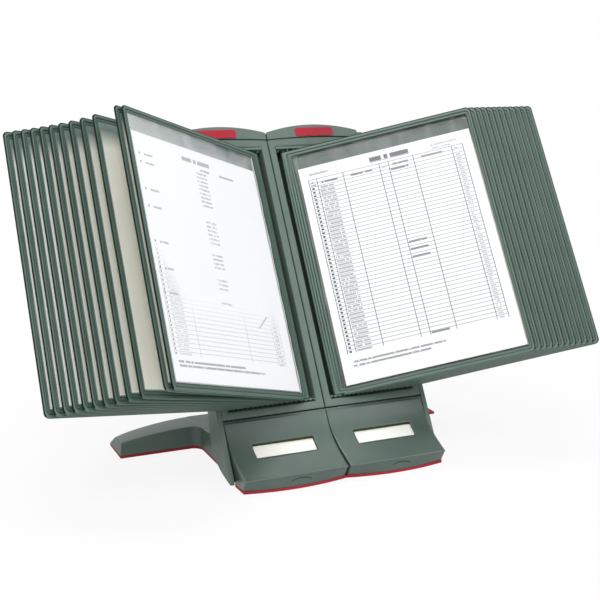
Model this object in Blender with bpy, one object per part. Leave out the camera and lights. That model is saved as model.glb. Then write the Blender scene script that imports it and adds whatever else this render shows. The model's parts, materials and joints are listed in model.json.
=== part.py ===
"""Twin-module desktop reference stand with flip panels, as separate named parts.

Two identical reclined racks stand side by side. Each holds a fan of letter-size display
panels on pivot combs, an arched top cap, a hinged front cover with a label window and a
storage box behind it, and an end panel with a long side foot on a rubber sole.

The rack frame of reference is reclined about X: x runs along the row, y goes back from the
rack's front face and z climbs the rack from the lower edge of the letter sheets. The base
frame of reference stands on the floor right below it: y goes back, z is the height.
"""

import math

import bmesh
import bpy
from mathutils import Matrix, Vector

# Angles, in degrees
RECLINE_DEG = 31.0
RIGHT_LEAN_DEG = 27.5
LEFT_FRONT_LEAN_DEG = 34.0
LEFT_FAN_FIRST_DEG = 28.6
LEFT_FAN_LAST_DEG = 19.1
COVER_LIP_SLOPE_DEG = 20.0

# Counts
PANELS_PER_MODULE = 12
LEFT_FRONT_PANEL_COUNT = 2
LEFT_FAN_EVEN_SHARE = 0.6
LEFT_FAN_EASE = 4
CURVE_STEPS = 10
CORNER_STEPS = 3
HOLE_SIDES = 8
PIN_SIDES = 6
ROD_SIDES = 8
BARREL_SIDES = 12
NOSE_STATIONS = 6
FOOT_FRONT_EASE = 2.2
FOOT_REAR_EASE = 1.7
FOOT_RAKE_EASE = 6
FOOT_STATIONS = 7

# Letter sheet
SHEET_WIDTH = 0.2159
SHEET_HEIGHT = 0.2794
SHEET_THICKNESS = 0.0005

# Display panel
PANEL_THICKNESS = 0.0024
PANEL_HEEL = 0.0024
SHEET_FROM_PIVOT = 0.015
PANEL_FREE_BORDER = 0.009
PANEL_TOP_BORDER = 0.0285
PANEL_BOTTOM_BORDER = 0.010
PANEL_RIM = 0.0072
PANEL_BOTTOM_RIM = 0.0082
PANEL_TOP_RIM = 0.009
PANEL_SPINE_BAND = 0.011
PANEL_CORNER = 0.008
PANEL_HEEL_CORNER = 0.0012
PANEL_EDGE_ROUND = 0.0003
WINDOW_CORNER = 0.002
WEB_THICKNESS = 0.0014
SHEET_RELIEF = 0.0002
RIB_WIDTH = 0.0012
RIB_HEIGHT = 0.0004
RIB_PITCH = 0.0026
RIB_END_MARGIN = 0.012
HEEL_RELIEF_LENGTH = 0.0105
HEEL_RELIEF_HEIGHT = 0.0021
PIVOT_RADIUS = 0.001
PIVOT_LENGTH = 0.006
FOOT_PIVOT_LENGTH = 0.0031
POCKET_THICKNESS = 0.0018
POCKET_FILM = 0.0003
POCKET_SEAM = 0.001

# Rack
MODULE_WIDTH = 0.126
FIRST_PIVOT = 0.0173
LAST_PIVOT_INSET = 0.0185
PIVOT_DEPTH = 0.0026
INNER_STILE = 0.0094
OUTER_STILE = 0.0082
TOP_BAR = 0.0087
BOTTOM_BAR = 0.0091
OPENING_BELOW_SHEET = 0.0115
OPENING_ABOVE_SHEET = 0.0356
RACK_DEPTH = 0.022
RACK_ARCH = 0.0024
OPENING_CHAMFER = 0.0015
BACK_THICKNESS = 0.0025
BACK_FIELD_MARGIN = 0.012
BACK_FIELD_DEPTH = 0.0012

# Pivot combs
COMB_FRONT = 0.0005
COMB_DEPTH = 0.0115
COMB_BAR = 0.003
TOOTH_HEIGHT = 0.0022
TOOTH_BASE = 0.0056
TOOTH_TIP = 0.0018
TOOTH_DEPTH = 0.0036
PIVOT_CLEARANCE = 0.0004

# Top cap
CAP_END_HEIGHT = 0.0103
CAP_ARCH = 0.0096
CAP_PROUD = 0.001
CAP_EDGE = 0.0014

# End panel
END_THICKNESS = 0.0077
END_TOP_ABOVE_RACK = 0.0082
END_EDGE = 0.0012
END_TOE = 0.0935
HIP_DROP = 0.042
HIP_DEPTH = 0.032
WAIST_RISE = 0.012
TOE_HANDLE_DEPTH = 0.018
TOE_HANDLE_RISE = 0.016
HIP_HANDLE_LOW = 0.018
HIP_HANDLE_HIGH = 0.022

# Base and sole, heights above the floor
RACK_HEIGHT = 0.0842
SOLE_THICKNESS = 0.0032
BASE_SIDE_SETBACK = 0.0065
BASE_REAR = 0.143
BASE_REAR_HEIGHT = 0.024
BASE_WALL = 0.0025
BASE_FRONT_SETBACK = 0.007
BASE_TOP_DROP = 0.0008
BASE_SHOULDER_Y = 0.088
TOE_THICKNESS = 0.0025
BASE_SADDLE_TOP = 0.016
BASE_SADDLE_REAR = 0.030
STORE_BACK = 0.045
STORE_ROOF = 0.0046
TOE_FRONT_Y = -0.0649
TOE_SIDE_GAP = 0.0005

# Front cover
COVER_SKIN = 0.0022
COVER_LIP_Y = -0.0773
COVER_LIP_HEIGHT = 0.0178
COVER_FOOT_Y = -0.0679
COVER_HANDLE_TOP = 0.0281
COVER_HANDLE_LIP = 0.0411
COVER_CHIN_Y = -0.0748
COVER_CHIN_HEIGHT = 0.0142
COVER_BACK_SETBACK = 0.004
COVER_TAPER = 0.0024
HINGE_BARREL = 0.0022
HINGE_ROD = 0.0008
HINGE_CLEARANCE = 0.0003
GAP_LINE = 0.001
EAR_WIDTH = 0.004
EAR_INSET = 0.010
LABEL_WIDTH = 0.0754
LABEL_TOP_Y = -0.0302
LABEL_BOTTOM_Y = -0.0467
LABEL_SHIFT = 0.001
LABEL_RECESS = 0.004
LABEL_PAD = 0.0015
LABEL_MARGIN = 0.003
LABEL_THICKNESS = 0.0008
NOTCH_WIDTH = 0.027
NOTCH_CREST = 0.0132
NOTCH_ENDS = 0.0095
NOTCH_FOOT = 0.0055
NOTCH_DEPTH = 0.0016
NOSE_BOW = 0.008
NOTCH_SHIFT = 0.004

# Side foot
LEFT_SOLE_REACH = 0.218
RIGHT_SOLE_REACH = 0.207
LEFT_SOLE_TOE = 0
RIGHT_SOLE_TOE = 0.0065
SOLE_FRONT_Y = -0.068
SOLE_FRONT_SETBACK = 0.0024
SOLE_SEAM_Y = -0.0435
SOLE_SEAM_SETBACK = 0.0016
SOLE_SHOULDER_Y = -0.0400
FOOT_FRONT_Y = 0.0925
FOOT_FILLET = 0.012
FOOT_ROOT_FRONT_HEIGHT = 0.0277
FOOT_ROOT_REAR_HEIGHT = 0.024
FOOT_TIP_FRONT_HEIGHT = 0.0189
FOOT_TIP_REAR_HEIGHT = 0.0102
LEFT_FOOT_TIP_FRONT_RAKE = 0.0015
RIGHT_FOOT_TIP_FRONT_RAKE = 0.0055
FOOT_TIP_REAR_RAKE = 0.007
FOOT_CROWN = 0.0008

# Join plates on the back
JOIN_WIDTH = 0.034
JOIN_HEIGHT = 0.018
JOIN_THICKNESS = 0.002
JOIN_LOW = 0.020
JOIN_TOP_DROP = 0.030
JOIN_CORNER = 0.004

# Clearances
SEAM = 0.0003
OVERRUN = 0.002

RECLINE = math.radians(RECLINE_DEG)
PANEL_REACH = SHEET_FROM_PIVOT + SHEET_WIDTH + PANEL_FREE_BORDER
PANEL_TOP = SHEET_HEIGHT + PANEL_TOP_BORDER
OPENING_BOTTOM = -OPENING_BELOW_SHEET
OPENING_TOP = SHEET_HEIGHT + OPENING_ABOVE_SHEET
RACK_BOTTOM = OPENING_BOTTOM - BOTTOM_BAR
RACK_TOP = OPENING_TOP + TOP_BAR
JOIN_HIGH = OPENING_TOP - JOIN_TOP_DROP
LAST_PIVOT = MODULE_WIDTH - LAST_PIVOT_INSET
PIVOT_PITCH = (LAST_PIVOT - FIRST_PIVOT) / (PANELS_PER_MODULE - 1)
BASE_WIDTH = MODULE_WIDTH - BASE_SIDE_SETBACK
BACK_FACE = RACK_DEPTH + SEAM + BACK_THICKNESS
SOLE_TOP = SOLE_THICKNESS + SEAM
SOLE_FRONT_REACH = MODULE_WIDTH - SOLE_FRONT_SETBACK
SOLE_SEAM_REACH = MODULE_WIDTH - SOLE_SEAM_SETBACK
COVER_AXIS_DEPTH = HINGE_BARREL
COVER_AXIS_Z = RACK_BOTTOM - GAP_LINE - HINGE_BARREL


def rack_to_base(depth, climb):
    """Return (y, height) in the base frame of a point in the rack frame."""
    y = climb * math.sin(RECLINE) + depth * math.cos(RECLINE)
    height = RACK_HEIGHT + climb * math.cos(RECLINE) - depth * math.sin(RECLINE)
    return y, height


def arc_points(centre, radius, start, end, steps):
    """Points on an arc, both ends included; angles in radians."""
    angles = [start + (end - start) * i / steps for i in range(steps + 1)]
    return [
        (centre[0] + radius * math.cos(a), centre[1] + radius * math.sin(a)) for a in angles
    ]


def bezier_points(p0, p1, p2, p3, steps):
    """Points on a cubic Bezier curve, both ends included."""
    points = []
    for i in range(steps + 1):
        t = i / steps
        s = 1 - t
        weights = (s**3, 3 * s * s * t, 3 * s * t * t, t**3)
        points.append(
            tuple(sum(w * p[k] for w, p in zip(weights, (p0, p1, p2, p3))) for k in (0, 1))
        )
    return points


def rounded_rectangle(x0, x1, z0, z1, radii, steps):
    """Outline with a radius per corner: low left, low right, high right, high left."""
    corners = ((x0, z0, 1, 1), (x1, z0, -1, 1), (x1, z1, -1, -1), (x0, z1, 1, -1))
    outline = []
    for index, ((x, z, sx, sz), radius) in enumerate(zip(corners, radii)):
        start = math.pi + index * math.pi / 2
        centre = (x + sx * radius, z + sz * radius)
        outline += arc_points(centre, radius, start, start + math.pi / 2, steps)
    return outline


def offset_outline(outline, distance):
    """Move each corner of a closed outline inwards (counterclockwise outlines) by distance."""
    moved = []
    count = len(outline)
    for i, (x, y) in enumerate(outline):
        before = Vector(outline[i - 1])
        after = Vector(outline[(i + 1) % count])
        here = Vector((x, y))
        in_dir = (here - before).normalized()
        out_dir = (after - here).normalized()
        in_normal = Vector((-in_dir.y, in_dir.x))
        out_normal = Vector((-out_dir.y, out_dir.x))
        mitre = in_normal + out_normal
        mitre /= max(mitre.dot(in_normal), 1 / 2)
        moved.append(tuple(here + mitre * distance))
    return moved


def make_material(name, colour, roughness, metallic=0.0, alpha=1.0):
    """A Principled material in the part's own colour."""
    material = bpy.data.materials.new(name)
    material.use_nodes = True
    shader = material.node_tree.nodes["Principled BSDF"]
    shader.inputs["Base Color"].default_value = (*colour, 1.0)
    shader.inputs["Roughness"].default_value = roughness
    shader.inputs["Metallic"].default_value = metallic
    shader.inputs["Alpha"].default_value = alpha
    material.diffuse_color = (*colour, alpha)
    return material


def make_object(name, mesh, material=None):
    """Link a mesh to the scene as a named object."""
    obj = bpy.data.objects.new(name, mesh)
    if material is not None:
        mesh.materials.clear()
        mesh.materials.append(material)
    bpy.context.scene.collection.objects.link(obj)
    return obj


def loft(name, rings, closed=False):
    """Skin a list of rings with equally many points, capped at both ends unless closed."""
    mesh = bpy.data.meshes.new(name)
    bm = bmesh.new()
    verts = [[bm.verts.new(point) for point in ring] for ring in rings]
    pairs = list(zip(verts, verts[1:]))
    if closed:
        pairs.append((verts[-1], verts[0]))
    for low, high in pairs:
        for i in range(len(low)):
            j = (i + 1) % len(low)
            bm.faces.new((low[i], low[j], high[j], high[i]))
    if not closed:
        bm.faces.new(list(reversed(verts[0])))
        bm.faces.new(verts[-1])
    bmesh.ops.recalc_face_normals(bm, faces=bm.faces)
    bm.to_mesh(mesh)
    bm.free()
    return mesh


def prism_x(name, outline, x0, x1):
    """Extrude a (y, z) outline along X."""
    return loft(name, [[(x, y, z) for y, z in outline] for x in (x0, x1)])


def prism_y(name, outline, y0, y1):
    """Extrude an (x, z) outline along Y."""
    return loft(name, [[(x, y, z) for x, z in outline] for y in (y0, y1)])


def block(name, low, high):
    """A box between two corners."""
    outline = [(low[0], low[2]), (high[0], low[2]), (high[0], high[2]), (low[0], high[2])]
    return prism_y(name, outline, low[1], high[1])


def rod_mesh(name, radius, start, end, sides):
    """A round rod between two points."""
    start = Vector(start)
    end = Vector(end)
    axis = (end - start).normalized()
    across = axis.orthogonal().normalized()
    other = axis.cross(across)
    turns = [math.tau * i / sides for i in range(sides)]
    ring = [across * (radius * math.cos(a)) + other * (radius * math.sin(a)) for a in turns]
    return loft(name, [[p + start for p in ring], [p + end for p in ring]])


def combine(mesh, tools, operation):
    """Union or cut a mesh with a list of tool meshes and return the result."""
    target = make_object("work_target", mesh)
    helpers = []
    for tool in tools:
        helper = make_object("work_tool", tool)
        helper.hide_render = True
        helper.display_type = "WIRE"
        modifier = target.modifiers.new("combine", "BOOLEAN")
        modifier.operation = operation
        modifier.solver = "EXACT"
        modifier.object = helper
        helpers.append(helper)
    bpy.context.view_layer.update()
    depsgraph = bpy.context.evaluated_depsgraph_get()
    result = bpy.data.meshes.new_from_object(target.evaluated_get(depsgraph))
    for obj in [target, *helpers]:
        bpy.data.objects.remove(obj, do_unlink=True)
    return result


def fuse(mesh, tools):
    """Boolean union."""
    return combine(mesh, tools, "UNION")


def cut(mesh, tools):
    """Boolean difference."""
    return combine(mesh, tools, "DIFFERENCE")


def place(obj, parent, location=(0, 0, 0), turn_z=0.0, flip=False):
    """Parent an object and set its place in the parent's frame; flip mirrors it across X."""
    if flip:
        obj.data = obj.data.copy()
        obj.data.transform(Matrix.Scale(-1, 4, (1, 0, 0)))
        obj.data.flip_normals()
    obj.parent = parent
    obj.location = location
    obj.rotation_euler = (0, 0, turn_z)
    return obj


def smooth(obj, angle=math.radians(35)):
    """Shade round stretches smooth and keep real edges sharp."""
    obj.data.shade_smooth()
    obj.data.set_sharp_from_angle(angle=angle)


def clip_outline(outline, axis, limit, keep_above):
    """Keep the part of a closed outline on one side of a straight cut."""
    sign = 1 if keep_above else -1
    kept = []
    count = len(outline)
    for i, point in enumerate(outline):
        after = outline[(i + 1) % count]
        here = sign * (point[axis] - limit)
        there = sign * (after[axis] - limit)
        if here >= 0:
            kept.append(point)
        if here * there < 0:
            t = here / (here - there)
            kept.append(tuple(p + t * (q - p) for p, q in zip(point, after)))
    return kept


def joined(name, meshes):
    """One mesh holding several separate closed shells, for use as a tool."""
    bm = bmesh.new()
    for mesh in meshes:
        bm.from_mesh(mesh)
    result = bpy.data.meshes.new(name)
    bm.to_mesh(result)
    bm.free()
    return result


def depth_point(depth, height):
    """Base-frame point at a given depth behind the rack's front plane and a given height."""
    climb = (height - RACK_HEIGHT + depth * math.sin(RECLINE)) / math.cos(RECLINE)
    return rack_to_base(depth, climb)


def pivot_places():
    """Distance of each panel pivot from the centre line, front panel first."""
    return [FIRST_PIVOT + k * PIVOT_PITCH for k in range(PANELS_PER_MODULE)]


def left_leans():
    """Lean of each left panel off the rack plane, in degrees, front panel first."""
    fan = PANELS_PER_MODULE - LEFT_FRONT_PANEL_COUNT
    leans = [LEFT_FRONT_LEAN_DEG] * LEFT_FRONT_PANEL_COUNT
    for k in range(fan):
        t = 1 - k / (fan - 1)
        share = LEFT_FAN_EVEN_SHARE * t + (1 - LEFT_FAN_EVEN_SHARE) * t**LEFT_FAN_EASE
        leans.append(LEFT_FAN_LAST_DEG + (LEFT_FAN_FIRST_DEG - LEFT_FAN_LAST_DEG) * share)
    return leans


HEEL_BOTTOM = -PANEL_BOTTOM_BORDER + HEEL_RELIEF_HEIGHT
WINDOW_LEFT = PANEL_SPINE_BAND
WINDOW_RIGHT = PANEL_REACH - PANEL_RIM
WINDOW_BOTTOM = -PANEL_BOTTOM_BORDER + PANEL_BOTTOM_RIM
WINDOW_TOP = PANEL_TOP - PANEL_TOP_RIM


def panel_outline():
    """Outline of a display panel: x from the pivot axis, z from the sheet's lower edge."""
    heel = PANEL_HEEL_CORNER
    corner = PANEL_CORNER
    steps = CORNER_STEPS
    half_turn = math.pi
    quarter = math.pi / 2
    low_heel = (-PANEL_HEEL + heel, HEEL_BOTTOM + heel)
    top_heel = (-PANEL_HEEL + heel, PANEL_TOP - heel)
    low_free = (PANEL_REACH - corner, -PANEL_BOTTOM_BORDER + corner)
    top_free = (PANEL_REACH - corner, PANEL_TOP - corner)
    outline = arc_points(low_heel, heel, half_turn, half_turn + quarter, 1)
    outline += [
        (HEEL_RELIEF_LENGTH, HEEL_BOTTOM),
        (HEEL_RELIEF_LENGTH, -PANEL_BOTTOM_BORDER),
    ]
    outline += arc_points(low_free, corner, -quarter, 0, steps)
    outline += arc_points(top_free, corner, 0, quarter, steps)
    outline += arc_points(top_heel, heel, quarter, half_turn, 1)
    return outline


def panel_plate():
    """The plate of a panel with softened edges."""
    outline = panel_outline()
    inner = offset_outline(outline, PANEL_EDGE_ROUND)
    half = PANEL_THICKNESS / 2
    shoulder = half - PANEL_EDGE_ROUND
    rings = ((inner, -half), (outline, -shoulder), (outline, shoulder), (inner, half))
    return loft("panel", [[(x, y, z) for x, z in ring] for ring, y in rings])


def window_tool(y0, y1):
    """Cutter for the panel window between two depths."""
    radii = [WINDOW_CORNER] * 4
    outline = rounded_rectangle(WINDOW_LEFT, WINDOW_RIGHT, WINDOW_BOTTOM, WINDOW_TOP, radii, 1)
    return prism_y("window_tool", outline, y0, y1)


def spine_groove_tools():
    """Cutters for the grooves that leave upright ribs on both faces of the spine."""
    half = PANEL_THICKNESS / 2
    middle = (PANEL_SPINE_BAND - PANEL_HEEL) / 2
    width = RIB_PITCH - RIB_WIDTH
    low = HEEL_BOTTOM + RIB_END_MARGIN
    high = PANEL_TOP - RIB_END_MARGIN
    boxes = []
    for x in (middle - RIB_PITCH / 2, middle + RIB_PITCH / 2):
        for y0, y1 in ((-half - OVERRUN, -half + RIB_HEIGHT), (half - RIB_HEIGHT, half + OVERRUN)):
            boxes.append(block("groove", (x - width / 2, y0, low), (x + width / 2, y1, high)))
    return joined("grooves", boxes)


def panel_pins():
    """The two pivot pins of a panel, on its hinge axis."""
    top = ((0, 0, PANEL_TOP - OVERRUN), (0, 0, PANEL_TOP + PIVOT_LENGTH))
    foot = ((0, 0, HEEL_BOTTOM + OVERRUN), (0, 0, HEEL_BOTTOM - FOOT_PIVOT_LENGTH))
    return [rod_mesh("pin", PIVOT_RADIUS, start, end, PIN_SIDES) for start, end in (top, foot)]


def closed_panel_mesh():
    """Panel whose pocket and papers are drawn as one stepped web inside the frame."""
    half = PANEL_THICKNESS / 2
    web = WEB_THICKNESS / 2
    tools = [
        window_tool(-half - OVERRUN, -web),
        window_tool(web, half + OVERRUN),
        spine_groove_tools(),
    ]
    paper = web + SHEET_RELIEF
    sheet = block(
        "paper_step",
        (SHEET_FROM_PIVOT, -paper, 0),
        (SHEET_FROM_PIVOT + SHEET_WIDTH, paper, SHEET_HEIGHT),
    )
    return fuse(cut(panel_plate(), tools), [sheet, *panel_pins()])


def open_panel_mesh():
    """Frame of the front panel: through window and a slot in the top bar for the sheet."""
    half = PANEL_THICKNESS / 2
    slot = SHEET_THICKNESS / 2 + SEAM
    side = SEAM + SEAM
    slot_tool = block(
        "slot",
        (SHEET_FROM_PIVOT - side, -slot, WINDOW_TOP - OVERRUN),
        (SHEET_FROM_PIVOT + SHEET_WIDTH + side, slot, PANEL_TOP + OVERRUN),
    )
    tools = [window_tool(-half - OVERRUN, half + OVERRUN), spine_groove_tools(), slot_tool]
    return fuse(cut(panel_plate(), tools), panel_pins())


def pocket_mesh():
    """Clear sleeve with an open top that fills the front panel's window."""
    half = POCKET_THICKNESS / 2
    radii = [WINDOW_CORNER - SEAM] * 4
    left = WINDOW_LEFT + SEAM
    right = WINDOW_RIGHT - SEAM
    bottom = WINDOW_BOTTOM + SEAM
    top = WINDOW_TOP - SEAM
    outline = rounded_rectangle(left, right, bottom, top, radii, 1)
    cavity = block(
        "cavity",
        (left + POCKET_SEAM, -half + POCKET_FILM, bottom + POCKET_SEAM),
        (right - POCKET_SEAM, half - POCKET_FILM, top + OVERRUN),
    )
    return cut(prism_y("pocket", outline, -half, half), [cavity])


def sheet_mesh():
    """The letter sheet in the front pocket."""
    half = SHEET_THICKNESS / 2
    return block(
        "sheet",
        (SHEET_FROM_PIVOT, -half, 0),
        (SHEET_FROM_PIVOT + SHEET_WIDTH, half, SHEET_HEIGHT),
    )


def arched_top(x0, x1, end_height, arch):
    """Points of a shallow arch from x1 back to x0, rising by arch in the middle."""
    points = []
    for i in range(CURVE_STEPS + 1):
        t = i / CURVE_STEPS
        points.append((x1 + (x0 - x1) * t, end_height + arch * 4 * t * (1 - t)))
    return points


def rack_frame_mesh():
    """Deep frame of one rack with an arched top edge and a chamfered opening."""
    left = SEAM / 2
    outline = [(left, RACK_BOTTOM), (MODULE_WIDTH, RACK_BOTTOM)]
    outline += arched_top(left, MODULE_WIDTH, RACK_TOP, RACK_ARCH)
    rings = []
    stations = (
        (-OVERRUN, OPENING_CHAMFER + OVERRUN),
        (OPENING_CHAMFER, 0),
        (RACK_DEPTH + OVERRUN, 0),
    )
    for depth, grow in stations:
        x0 = INNER_STILE - grow
        x1 = MODULE_WIDTH - OUTER_STILE + grow
        z0 = OPENING_BOTTOM - grow
        z1 = OPENING_TOP + grow
        rings.append([(x0, depth, z0), (x1, depth, z0), (x1, depth, z1), (x0, depth, z1)])
    return cut(prism_y("rack_frame", outline, 0, RACK_DEPTH), [loft("opening", rings)])


def top_cap_mesh():
    """Arched cap on the rack, slightly proud of its front, with a softened front edge."""
    left = SEAM / 2

    def outline(inset):
        low = RACK_TOP + SEAM
        high = RACK_TOP + CAP_END_HEIGHT - inset
        x0 = left + inset
        x1 = MODULE_WIDTH - inset
        bottom = [(x, z + inset) for x, z in arched_top(x0, x1, low, RACK_ARCH)]
        return list(reversed(bottom)) + arched_top(x0, x1, high, CAP_ARCH)

    front = -CAP_PROUD
    rings = [
        [(x, front, z) for x, z in outline(CAP_EDGE / 2)],
        [(x, front + CAP_EDGE / 2, z) for x, z in outline(0)],
        [(x, BACK_FACE, z) for x, z in outline(0)],
    ]
    return loft("top_cap", rings)


def comb_mesh():
    """Pivot comb, drawn teeth up from z 0: a bored bar with a tooth between the pivots."""
    x0 = INNER_STILE + SEAM
    x1 = MODULE_WIDTH - OUTER_STILE - SEAM
    bar = block("comb", (x0, COMB_FRONT, 0), (x1, COMB_FRONT + COMB_DEPTH, COMB_BAR))
    heel_sweep = math.hypot(PANEL_HEEL, PANEL_THICKNESS / 2)
    front = PIVOT_DEPTH + heel_sweep + PIVOT_CLEARANCE
    teeth = []
    sink = COMB_BAR / 2
    places = pivot_places()
    gaps = [places[0] - PIVOT_PITCH / 2] + [x + PIVOT_PITCH / 2 for x in places]
    for x in gaps:
        outline = [
            (x - TOOTH_BASE / 2, sink),
            (x + TOOTH_BASE / 2, sink),
            (x + TOOTH_BASE / 2, COMB_BAR),
            (x + TOOTH_TIP / 2, COMB_BAR + TOOTH_HEIGHT),
            (x - TOOTH_TIP / 2, COMB_BAR + TOOTH_HEIGHT),
            (x - TOOTH_BASE / 2, COMB_BAR),
        ]
        teeth.append(prism_y("tooth", outline, front, front + TOOTH_DEPTH))
    bores = []
    for x in places:
        low = (x, PIVOT_DEPTH, -OVERRUN)
        high = (x, PIVOT_DEPTH, COMB_BAR + OVERRUN)
        bores.append(rod_mesh("bore", PIVOT_RADIUS + PIVOT_CLEARANCE, low, high, HOLE_SIDES))
    return cut(fuse(bar, [joined("teeth", teeth)]), [joined("bores", bores)])


def back_cover_mesh():
    """Plate that closes the back of one rack, with a sunk field."""
    x0 = SEAM / 2
    outline = [
        (x0, RACK_BOTTOM),
        (MODULE_WIDTH, RACK_BOTTOM),
        (MODULE_WIDTH, RACK_TOP),
        (x0, RACK_TOP),
    ]
    margin = BACK_FIELD_MARGIN
    field = block(
        "field",
        (x0 + margin, BACK_FACE - BACK_FIELD_DEPTH, RACK_BOTTOM + margin),
        (MODULE_WIDTH - margin, BACK_FACE + OVERRUN, RACK_TOP - margin),
    )
    return cut(prism_y("back_cover", outline, RACK_DEPTH + SEAM, BACK_FACE), [field])


def end_outline(toe_climb):
    """Side silhouette of the end panel as (depth, climb), counterclockwise from its toe."""
    top = RACK_TOP + END_TOP_ABOVE_RACK
    toe = (0, toe_climb)
    hip = (HIP_DEPTH, -HIP_DROP)
    waist = (RACK_DEPTH, WAIST_RISE)
    lower = bezier_points(
        toe,
        (TOE_HANDLE_DEPTH, toe_climb + TOE_HANDLE_RISE),
        (HIP_DEPTH, -HIP_DROP - HIP_HANDLE_LOW),
        hip,
        CURVE_STEPS,
    )
    upper = bezier_points(
        hip,
        (HIP_DEPTH, -HIP_DROP + HIP_HANDLE_HIGH),
        (RACK_DEPTH, 0),
        waist,
        CURVE_STEPS,
    )
    return lower + upper[1:] + [(RACK_DEPTH, top), (0, top)]


def end_panel_mesh():
    """End panel of the row: a deep side plate with a thicker inner foot beside the base."""
    x0 = MODULE_WIDTH + SEAM
    x1 = x0 + END_THICKNESS
    outline = end_outline(-END_TOE)
    inner = offset_outline(outline, END_EDGE)
    rings = ((outline, x0), (outline, x1 - END_EDGE), (inner, x1))
    plate = loft("end_panel", [[(x, y, z) for y, z in ring] for ring, x in rings])
    sole_climb = (SOLE_TOP - RACK_HEIGHT) / math.cos(RECLINE)
    foot = clip_outline(end_outline(sole_climb), 1, RACK_BOTTOM - SEAM, False)
    foot = clip_outline(foot, 0, COVER_BACK_SETBACK + SEAM, True)
    foot = offset_outline(foot, SEAM)
    return fuse(plate, [prism_x("end_foot", foot, BASE_WIDTH + SEAM, x0 + OVERRUN)])


def join_plate_mesh():
    """Small plate across the centre seam at the back."""
    half = JOIN_WIDTH / 2
    radii = [JOIN_CORNER] * 4
    outline = rounded_rectangle(-half, half, 0, JOIN_HEIGHT, radii, CORNER_STEPS)
    return prism_y("join_plate", outline, BACK_FACE + SEAM, BACK_FACE + SEAM + JOIN_THICKNESS)


def cover_axis():
    """Hinge axis of the front cover in the base frame."""
    return rack_to_base(COVER_AXIS_DEPTH, COVER_AXIS_Z)


def cover_curve():
    """Concave face of the front cover, from its top edge down to the lip."""
    slope = math.radians(COVER_LIP_SLOPE_DEG)
    top = rack_to_base(0, COVER_AXIS_Z)
    down = (-math.sin(RECLINE), -math.cos(RECLINE))
    lip = (COVER_LIP_Y, COVER_LIP_HEIGHT)
    return bezier_points(
        top,
        (top[0] + COVER_HANDLE_TOP * down[0], top[1] + COVER_HANDLE_TOP * down[1]),
        (lip[0] + COVER_HANDLE_LIP * math.cos(slope), lip[1] + COVER_HANDLE_LIP * math.sin(slope)),
        lip,
        CURVE_STEPS,
    )


def curve_point(curve, y):
    """Point of the cover's face at a given y."""
    for (y0, z0), (y1, z1) in zip(curve, curve[1:]):
        if y1 <= y <= y0:
            return (y, z0 + (z1 - z0) * (y - y0) / (y1 - y0))
    return curve[-1]


def nose_bow(x):
    """How far the nose under the lip bows forward at x, as a share of its whole bow."""
    t = x / MODULE_WIDTH
    return 4 * t * (1 - t)


def cover_body(name, outline_at, x0, x1):
    """Body along X whose outline follows x and whose outer side leans in towards the lip."""
    top_y = rack_to_base(0, COVER_AXIS_Z)[0]
    rate = COVER_TAPER / (top_y - COVER_LIP_Y)
    rings = []
    for i in range(NOSE_STATIONS + 1):
        t = i / NOSE_STATIONS
        x = x0 + (x1 - x0) * t
        rings.append([(x - t * rate * (top_y - y), y, z) for y, z in outline_at(x)])
    return loft(name, rings)


def label_frame(curve):
    """Upper point, direction down the face and inward normal of the label window."""
    top = Vector(curve_point(curve, LABEL_TOP_Y))
    bottom = Vector(curve_point(curve, LABEL_BOTTOM_Y))
    along = bottom - top
    length = along.length
    along.normalize()
    return top, along, Vector((-along.y, along.x)), length


def label_box(name, curve, centre, grow, near, far):
    """Block along the label window, grown on four sides, between two depths below it."""
    top, along, inward, length = label_frame(curve)
    corners = ((-grow, near), (length + grow, near), (length + grow, far), (-grow, far))
    outline = [tuple(top + along * a + inward * b) for a, b in corners]
    half = LABEL_WIDTH / 2 + grow
    return prism_x(name, outline, centre - half, centre + half)


def cover_mesh(side):
    """Front cover of one module in the base frame, hinged along its top edge."""
    curve = cover_curve()
    x0 = SEAM
    x1 = MODULE_WIDTH - SEAM
    back = COVER_BACK_SETBACK
    far = back + COVER_SKIN + OVERRUN
    low = SOLE_TOP - COVER_SKIN - OVERRUN

    def outer(x):
        rear = [depth_point(back, SOLE_TOP), rack_to_base(back, COVER_AXIS_Z)]
        return curve + [nose_point(x, COVER_CHIN_HEIGHT), nose_point(x, SOLE_TOP), *rear]

    def inner(x):
        rear = [depth_point(far, low), rack_to_base(far, COVER_AXIS_Z)]
        front = [nose_point(x, COVER_CHIN_HEIGHT), nose_point(x, low)]
        return offset_outline(curve + front + rear, COVER_SKIN)

    hollow = cover_body("hollow", inner, x0 + COVER_SKIN, x1 - COVER_SKIN)
    body = cut(cover_body("cover", outer, x0, x1), [hollow])
    y, z = cover_axis()
    barrel = rod_mesh("barrel", HINGE_BARREL, (x0, y, z), (x1, y, z), BARREL_SIDES)
    centre = MODULE_WIDTH / 2 + side * LABEL_SHIFT
    near = COVER_SKIN / 2
    pad = label_box("pad", curve, centre, LABEL_MARGIN, near, LABEL_RECESS + LABEL_PAD)
    body = fuse(body, [barrel, pad])
    bore_radius = HINGE_ROD + HINGE_CLEARANCE
    bore = rod_mesh("bore", bore_radius, (-OVERRUN, y, z), (x1 + OVERRUN, y, z), HOLE_SIDES)
    room = HINGE_BARREL + HINGE_CLEARANCE * 2
    slots = []
    for start in ear_starts():
        low_end = (start - HINGE_CLEARANCE, y, z)
        high_end = (start + EAR_WIDTH + HINGE_CLEARANCE, y, z)
        slots.append(rod_mesh("ear_slot", room, low_end, high_end, BARREL_SIDES))
    window = label_box("window", curve, centre, 0, -OVERRUN, LABEL_RECESS)
    return cut(body, [bore, joined("slots", slots), window, notch_tool(side)])


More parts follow.
